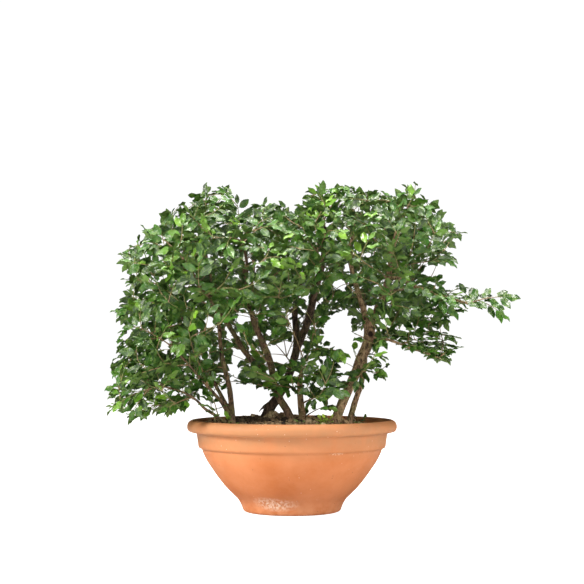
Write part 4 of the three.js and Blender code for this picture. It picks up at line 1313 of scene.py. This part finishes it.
# The bowl's profile, radius and height, in runs that are each smooth: foot and side, the band and its
# step, the rolled rim, and the inside. BOWL_STEP is the length of its faces up the side.
BOWL_STEP = 2.2
BOWL_SIDES = 168
BOWL_RUNS = [
    [(0, 0), (40, 0), (64, 0)],
    [
        (64, 0), (67.5, 0.5), (69.6, 2.4), (71, 6), (73, 11), (77, 17.5), (84, 24.6), (92.6, 33),
        (103.2, 45.7), (113.7, 60.4), (122, 73), (126.6, 82.5), (129, 88.8),
    ],
    [(129, 88.8), (129.6, 89.7), (131, 90.2), (132.8, 90.7), (133.6, 91.6), (134, 93)],
    [(134, 93), (134.9, 100), (136, 108), (136.6, 112.4)],
    [
        (136.6, 112.4), (137.4, 113.3), (139, 113.4), (142.5, 113.1), (146, 113.5), (148.6, 115.3),
        (149.8, 118.2), (150, 121), (149.4, 124), (147.6, 127.2), (144.5, 129.3), (141.5, 130),
        (138.8, 129.7), (137, 128.4),
    ],
    [
        (137, 128.4), (135.6, 124), (132, 112), (128.6, 100), (125, 89), (113.5, 67), (99, 47.5), (80, 27),
        (60, 9), (54, 6.4), (48, 6),
    ],
    [(48, 6), (25, 6), (0, 6)],
]

# The hidden part of the soil, radius and height, from the middle of the bowl's floor up its wall.
SOIL_SHELL = [(0, 6.4), (59, 6.4), (98.3, 48.3), (124.1, 89.6), (131.9, 116.4)]
SOIL_SIDES = 120
SOIL_ROUGHNESS = 0.5

# How finely the wood's lines are cut and how many sides they have before their forks are fused, how wide
# a knob of bark is, and how much rougher the bared root is. The bark's noise seldom leaves the middle
# two fifths of its range, which NOISE_GAIN makes up for.
LIMB_STEP = 4.0
SMALL_STEP = 2.0
LIMB_SIDES = 14
TWIG_SIDES = 6
KNOB_SIZE = 7.5
NOISE_GAIN = 2.6
BARED_ROOT_ROUGHNESS = 1.9

# How each leaf shape is folded, droops, ripples and bends, and how wide it is.
LEAF_HABITS = [
    (0.18, 0.06, 0.5, 0.03, 1.0), (0.3, 0.12, 0.9, -0.05, 0.92), (0.1, 0.16, 0.7, 0.06, 1.08),
    (0.42, 0.1, 0.6, -0.03, 0.96), (0.22, 0.24, 1.0, 0.02, 1.0),
]
WEED_COLOURS = ("#7ea22c", "#a3c73a", "#c6e150", "#b2cd62")
SPROUT_RADII = (0.55, 0.4)

# The studio in metres and watts: each light's place, the side of its square, and its power.
LIGHTS = {
    "Left light": ((-2.3, -1.3, 1.5), 0.9, 118),
    "Right light": ((2.3, -1.1, 1.0), 1.1, 46),
    "Front light": ((-0.4, -2.9, 0.4), 1.2, 20),
    "Top light": ((0.0, 0.0, 2.7), 0.9, 140),
}
LIGHT_COLOUR = (1.0, 0.98, 0.89)
LIT_PLACE = (0, 0, 0.26)
ROOM_LIGHT = 0.03


def soil_height(x, y):
    """Height of the soil's surface, as in the CAD part, in millimetres."""
    spread = 1 - min(1.0, math.hypot(x + 20, y - 10) / 135)
    uneven = 1.6 * math.sin(x * 0.11 + 1.3) * math.cos(y * 0.13) + 0.9 * math.sin(x * 0.31 + y * 0.23)
    return SOIL_EDGE_HEIGHT + SOIL_MOUND * math.sqrt(spread) + uneven


def turned_mesh(name, profile, sides):
    """Turns a profile, in metres from the axis and up, into a closed ring of faces about Z."""
    bm = bmesh.new()
    angles = [math.tau * i / sides for i in range(sides)]
    rows = []
    for radius, height in profile:
        row = [(radius * math.cos(a), radius * math.sin(a), height) for a in angles]
        rows.append([bm.verts.new(place) for place in (row if radius > 1e-6 else [(0, 0, height)])])
    for low, high in zip(rows, rows[1:]):
        for i in range(sides):
            j = i + 1
            ring = [low[i % len(low)], low[j % len(low)], high[j % len(high)], high[i % len(high)]]
            bm.faces.new(dict.fromkeys(ring))
    bmesh.ops.recalc_face_normals(bm, faces=bm.faces)
    return mesh_from(bm, name)


def drain_pins(radius, circle):
    """Four pins that stand where the drain holes go."""
    bm = bmesh.new()
    for i in range(4):
        angle = (i + 0.5) * math.pi / 2
        at = Matrix.Translation(Vector((math.cos(angle), math.sin(angle), 0)) * circle)
        pin = {"segments": 32, "radius1": radius, "radius2": radius, "depth": 30 * MM}
        bmesh.ops.create_cone(bm, cap_ends=True, matrix=at, **pin)
    return object_from("Drain pins", mesh_from(bm, "Drain pins"))


class BonsaiPiece:
    """What the operators share."""

    bl_options = {"REGISTER", "UNDO"}

    def finish_piece(self, piece, slot, *nodes):
        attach(piece, "root")
        if nodes:
            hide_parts(*nodes)

    def grow_piece(self, source, name, slot, growth, nodes=()):
        """Makes a piece of its source by a tree and the inputs that the tree takes."""
        add_tree(source, *growth)
        self.finish_piece(baked(source, name), slot, *nodes)


class BONSAI_OT_bowl(BonsaiPiece, Operator):
    """Builds the terracotta bowl with its rolled rim, band, foot and drain holes"""

    bl_idname = "bonsai.bowl"
    bl_label = "Bowl"

    def execute(self, context):
        settings = context.scene.bonsai_bowl
        wider, taller = settings.radius / BOWL_RADIUS, settings.height / BOWL_HEIGHT
        profile = []
        for run in BOWL_RUNS:
            route = through([(radius, 0, height) for radius, height in run], BOWL_STEP)
            points = [(point[0] * wider, point[2] * taller) for point in route.points]
            profile += points[1:] if profile else points
        profile[0] = (0.0, profile[0][1])
        profile[-1] = (0.0, profile[-1][1])
        mesh = turned_mesh("Bowl", profile, BOWL_SIDES)
        raw = smooth_object("Bowl, undrilled", mesh, terracotta_material(settings))
        pins = drain_pins(settings.drain_radius, settings.drain_circle)
        drilled = raw.modifiers.new("Drain holes", "BOOLEAN")
        drilled.operation = "DIFFERENCE"
        drilled.object = pins
        bowl = baked(raw, "terracotta_bowl")
        bpy.data.objects.remove(pins)
        self.finish_piece(bowl, "terracotta", "bowl")
        return {"FINISHED"}


class BONSAI_OT_soil(BonsaiPiece, Operator):
    """Builds the mound of potting soil, its crumbs and scraps of bark, and a little moss"""

    bl_idname = "bonsai.soil"
    bl_label = "Soil"

    def execute(self, context):
        settings = context.scene.bonsai_soil
        profile = SOIL_SHELL + [(radius, SOIL_EDGE_HEIGHT) for radius in range(SOIL_RADIUS, -1, -2)]
        shell = turned_mesh("Soil", [(r * MM, z * MM) for r, z in profile], SOIL_SIDES)
        chance = np.random.default_rng(7)
        for vertex in shell.vertices:
            x, y = vertex.co.x / MM, vertex.co.y / MM
            if vertex.co.z > (SOIL_EDGE_HEIGHT - 0.5) * MM and math.hypot(x, y) < SOIL_RADIUS + 1:
                rise = soil_height(x, y) - SOIL_EDGE_HEIGHT
                vertex.co.z = settings.edge_height + rise * MM * settings.mound / (SOIL_MOUND * MM)
                vertex.co.z += chance.normal(0, SOIL_ROUGHNESS) * MM
        soil = smooth_object("potting_soil", shell, soil_material(settings))
        self.finish_piece(soil, "potting_soil", "soil")
        tree = crumbs_tree()
        crumb, moss = crumb_material(settings), moss_material(settings)
        fine = [crumb_mesh(f"Fine crumb {i}", 1, i) for i in range(4)]
        coarse = [crumb_mesh(f"Coarse crumb {i}", 2, 9 + i) for i in range(4)]
        fine, coarse = shape_collection("Fine crumbs", fine), shape_collection("Coarse crumbs", coarse)
        for name, patches, shapes, size, density, seed, finish, slot in (
            ("soil_crumbs", None, fine, settings.crumb, 54000.0, 1, crumb, "potting_soil"),
            ("soil_clods", None, coarse, settings.crumb * 2.1, 9000.0, 2, crumb, "potting_soil"),
            ("soil_moss", MOSS, fine, 2.8 * MM, 330000.0, 4, moss, "foliage"),
        ):
            source = object_from(name + "_source", self.open_surface(soil.data, patches))
            values = {"Crumb shapes": shapes, "Size": size, "Density": density, "Seed": seed}
            self.grow_piece(source, name, slot, (tree, {**values, "Material": finish}))
        return {"FINISHED"}

    def open_surface(self, mesh, patches):
        """The top of the soil alone, or only patches of it, for crumbs or moss to lie on."""
        bm = bmesh.new()
        bm.from_mesh(mesh)
        under = []
        for face in bm.faces:
            middle = face.calc_center_median() / MM
            ragged = 0.75 + 0.35 * math.sin(middle.x + middle.y)
            is_bare = patches is not None and not any(
                math.hypot(middle.x - x, middle.y - y) < radius * ragged for x, y, radius in patches
            )
            if middle.z < SOIL_EDGE_HEIGHT - 1.5 or face.normal.z < 0.2 or is_bare:
                under.append(face)
        bmesh.ops.delete(bm, geom=under, context="FACES")
        return mesh_from(bm, "Soil surface")


class BONSAI_OT_trees(BonsaiPiece, Operator):
    """Builds the stems and boughs of the five elms, with knobbly bark, and a root that stands bare"""

    bl_idname = "bonsai.trees"
    bl_label = "Stems and boughs"

    def execute(self, context):
        settings = context.scene.bonsai_wood
        pale, middle, damp_and_shade = settings.grey_bark, settings.brown_bark, settings.dark_bark
        grey = bark_material("Elm bark, grey", pale, middle, settings.algae, WOUND)
        brown = bark_material("Elm bark, brown", middle, damp_and_shade, settings.algae)
        # Painted shade: the dark tree's bark and green film are a darker copy of the bark, as damp and
        # shaded.
        dark = bark_material("Elm bark, damp", damp_and_shade, linear("#3b2c24"), linear("#4c4a30"))
        barks = {"left": brown, "leaning": brown, "dark": dark, "centre": grey, "right": grey}
        for name, bark in barks.items():
            node = name + "_tree"
            limbs = [(route, radii) for tree, radii, route in LIMBS.values() if tree == node]
            small = [(route, radii) for tree, route, radii in SMALL_WOOD if tree == node]
            lines = [tapered(through(route, LIMB_STEP), radii) for route, radii in limbs]
            lines += [tapered(through(route, SMALL_STEP), radii) for route, radii in small]
            wood = self.grown(node + "_wood", lines, bark, settings.fineness, settings.relief)
            self.finish_piece(wood, "bark", node)
        bare = bark_material("Elm root, bare", settings.bare_root, pale, middle)
        lines = [tapered(through(route, SMALL_STEP), radii) for route, radii in BARED_ROOT]
        rough = BARED_ROOT_ROUGHNESS * settings.relief
        self.finish_piece(self.grown("bared_root", lines, bare, settings.fineness, rough), "bark")
        return {"FINISHED"}

    def grown(self, name, lines, bark, fineness, relief):
        """Wood along some lines, fused where they meet, with its bark raised in knobs and furrows."""
        source = lines_object(name + "_lines", lines)
        add_tree(source, swept_wood_tree(), {"Sides": LIMB_SIDES, "Material": bark})
        fused = source.modifiers.new("Fused forks", "REMESH")
        fused.mode = "VOXEL"
        fused.voxel_size = fineness
        fused.use_smooth_shade = True
        eased = source.modifiers.new("Eased forks", "SMOOTH")
        eased.factor = 0.5
        eased.iterations = 5
        knobs = {"Knob size": KNOB_SIZE * MM, "Relief": relief * NOISE_GAIN, "Material": bark}
        add_tree(source, bark_relief_tree(), knobs)
        return baked(source, name)


class BONSAI_OT_leafy_shoots(BonsaiPiece, Operator):
    """Builds the twigs and leaves of every limb and branch"""

    bl_idname = "bonsai.leafy_shoots"
    bl_label = "Twigs and leaves"

    def execute(self, context):
        settings = context.scene.bonsai_leaves
        lengths = settings.gap / MM, settings.spacing / MM, settings.length / MM
        crown = Crown(*lengths, settings.seed)
        for mass in MASSES:
            crown.fill(mass)
        colours = settings.mature, settings.middle, settings.fresh, settings.under
        waxy = leaf_material("Waxy elm leaf", *colours)
        soft = leaf_material("Soft weed leaf", *[linear(code) for code in WEED_COLOURS])
        bark = shoot_material(context.scene.bonsai_wood)
        shapes = shape_collection("Leaf shapes", self.leaf_shapes(settings))
        leafing = leaves_tree()
        twigs = swept_wood_tree(), {"Sides": TWIG_SIDES, "Material": bark}
        waxy_leaves = leafing, {"Leaf shapes": shapes, "Size": 1.0, "Material": waxy}
        soft_leaves = leafing, {"Leaf shapes": shapes, "Size": 1.0, "Material": soft}
        for owner in [*SPRAYS, *BRANCHES]:
            nodes = [f"{owner}_spray_{i + 1}" for i in range(len(SPRAYS.get(owner, ())))] or [owner]
            lines = [tapered(crown.branches[owner], BRANCH_RADII)] if owner in BRANCHES else []
            lines += [tapered(s["route"], s["radii"]) for s in crown.shoots if s["owner"] == owner]
            source = lines_object(owner + "_lines", lines)
            self.grow_piece(source, owner + "_twigs", "bark", twigs, nodes)
            leaves = [leaf for leaf in crown.leaves if leaf["owner"] == owner]
            source = leaf_points(owner + "_points", leaves)
            self.grow_piece(source, owner + "_leaves", "foliage", waxy_leaves, nodes)
        chance = np.random.default_rng(settings.seed)
        for kind, growth in (("sprout", waxy_leaves), ("weed", soft_leaves)):
            lines, leaves = [], []
            for foot, tip, count, size, tint in SPROUTS[kind]:
                stem = bowed(np.array(foot, float), np.array(tip, float), 0.1)
                lines.append(tapered(stem, SPROUT_RADII))
                leaves += sprout_leaves(stem, count, size, tint, chance)
            self.grow_piece(lines_object(kind + "_lines", lines), kind + "_stems", "bark", twigs)
            self.grow_piece(leaf_points(kind + "_points", leaves), kind + "_leaves", "foliage", growth)
        return {"FINISHED"}

    def leaf_shapes(self, settings):
        """Leaves that differ in their fold, droop, ripple, bend and width."""
        return [
            leaf_mesh(f"Leaf {i}", settings.length, settings.width * wide, *habit)
            for i, (*habit, wide) in enumerate(LEAF_HABITS)
        ]


class BONSAI_OT_stage(Operator):
    """Sets the pale floor, the soft studio light and the camera"""

    bl_idname = "bonsai.stage"
    bl_label = "Studio"
    bl_options = {"REGISTER", "UNDO"}

    def execute(self, context):
        settings = context.scene.bonsai_stage
        smooth_object("Floor", self.floor_mesh(), paper_material(settings))
        self.set_world(context.scene)
        for name, light in LIGHTS.items():
            self.add_light(context.scene, name, *light)
        camera = bpy.data.objects.new("Camera", bpy.data.cameras.new("Camera"))
        context.scene.collection.objects.link(camera)
        camera.location = (0, -settings.distance, settings.eye_height)
        camera.rotation_euler = (math.pi / 2 + settings.tilt, 0, 0)
        camera.data.lens = settings.lens
        camera.data.sensor_width = 36
        camera.data.clip_end = 50
        context.scene.camera = camera
        context.scene.view_settings.view_transform = "Standard"
        return {"FINISHED"}

    def floor_mesh(self):
        """A wide disc, just under the bowl's foot."""
        bm = bmesh.new()
        bmesh.ops.create_circle(bm, cap_ends=True, segments=64, radius=9)
        bmesh.ops.translate(bm, verts=bm.verts, vec=(0, 0, -0.2 * MM))
        return mesh_from(bm, "Floor")

    def set_world(self, scene):
        """A room that the camera sees as white and that sheds little light."""
        world = bpy.data.worlds.new("White room")
        scene.world = world
        world.use_nodes = True
        tree = world.node_tree
        seen = add_node(tree, "ShaderNodeLightPath").outputs["Is Camera Ray"]
        strength = add_node(tree, "ShaderNodeMath", (seen, 1.0, ROOM_LIGHT), operation="MULTIPLY_ADD")
        set_inputs(tree, tree.nodes["Background"], {"Color": (1.0, 1.0, 1.0), "Strength": strength})

    def add_light(self, scene, name, place, size, power):
        light = bpy.data.objects.new(name, bpy.data.lights.new(name, "AREA"))
        scene.collection.objects.link(light)
        light.data.size = size
        light.data.energy = power
        light.data.color = LIGHT_COLOUR
        light.location = place
        aim = Vector(LIT_PLACE) - light.location
        light.rotation_mode = "QUATERNION"
        light.rotation_quaternion = aim.to_track_quat("-Z", "Y")


class BONSAI_PT_panel(Panel):
    """Lists the pieces of the bonsai with their sizes and colours"""

    bl_idname = "BONSAI_PT_panel"
    bl_label = "Elm Bonsai"
    bl_space_type = "VIEW_3D"
    bl_region_type = "UI"
    bl_category = "Bonsai"

    def draw(self, context):
        for name, operators in PARTS.items():
            box = self.layout.box()
            settings = getattr(context.scene, name)
            for key in settings.bl_rna.properties.keys():
                if key not in ("rna_type", "name"):
                    box.prop(settings, key)
            for operator in operators:
                box.operator(operator.bl_idname)


SETTINGS = {
    "bonsai_bowl": BonsaiBowl,
    "bonsai_soil": BonsaiSoil,
    "bonsai_wood": BonsaiWood,
    "bonsai_leaves": BonsaiLeaves,
    "bonsai_stage": BonsaiStage,
}
PARTS = {
    "bonsai_bowl": [BONSAI_OT_bowl],
    "bonsai_soil": [BONSAI_OT_soil],
    "bonsai_wood": [BONSAI_OT_trees],
    "bonsai_leaves": [BONSAI_OT_leafy_shoots],
    "bonsai_stage": [BONSAI_OT_stage],
}
OPERATORS = [operator for group in PARTS.values() for operator in group]
CLASSES = [*SETTINGS.values(), *OPERATORS, BONSAI_PT_panel]


def register():
    for part in CLASSES:
        bpy.utils.register_class(part)
    for name, group in SETTINGS.items():
        setattr(bpy.types.Scene, name, PointerProperty(type=group))


def unregister():
    for name in SETTINGS:
        delattr(bpy.types.Scene, name)
    for part in reversed(CLASSES):
        bpy.utils.unregister_class(part)


def main():
    register()
    bpy.ops.bonsai.bowl()
    bpy.ops.bonsai.soil()
    bpy.ops.bonsai.trees()
    bpy.ops.bonsai.leafy_shoots()
    bpy.ops.bonsai.stage()


if __name__ == "__main__":
    main()
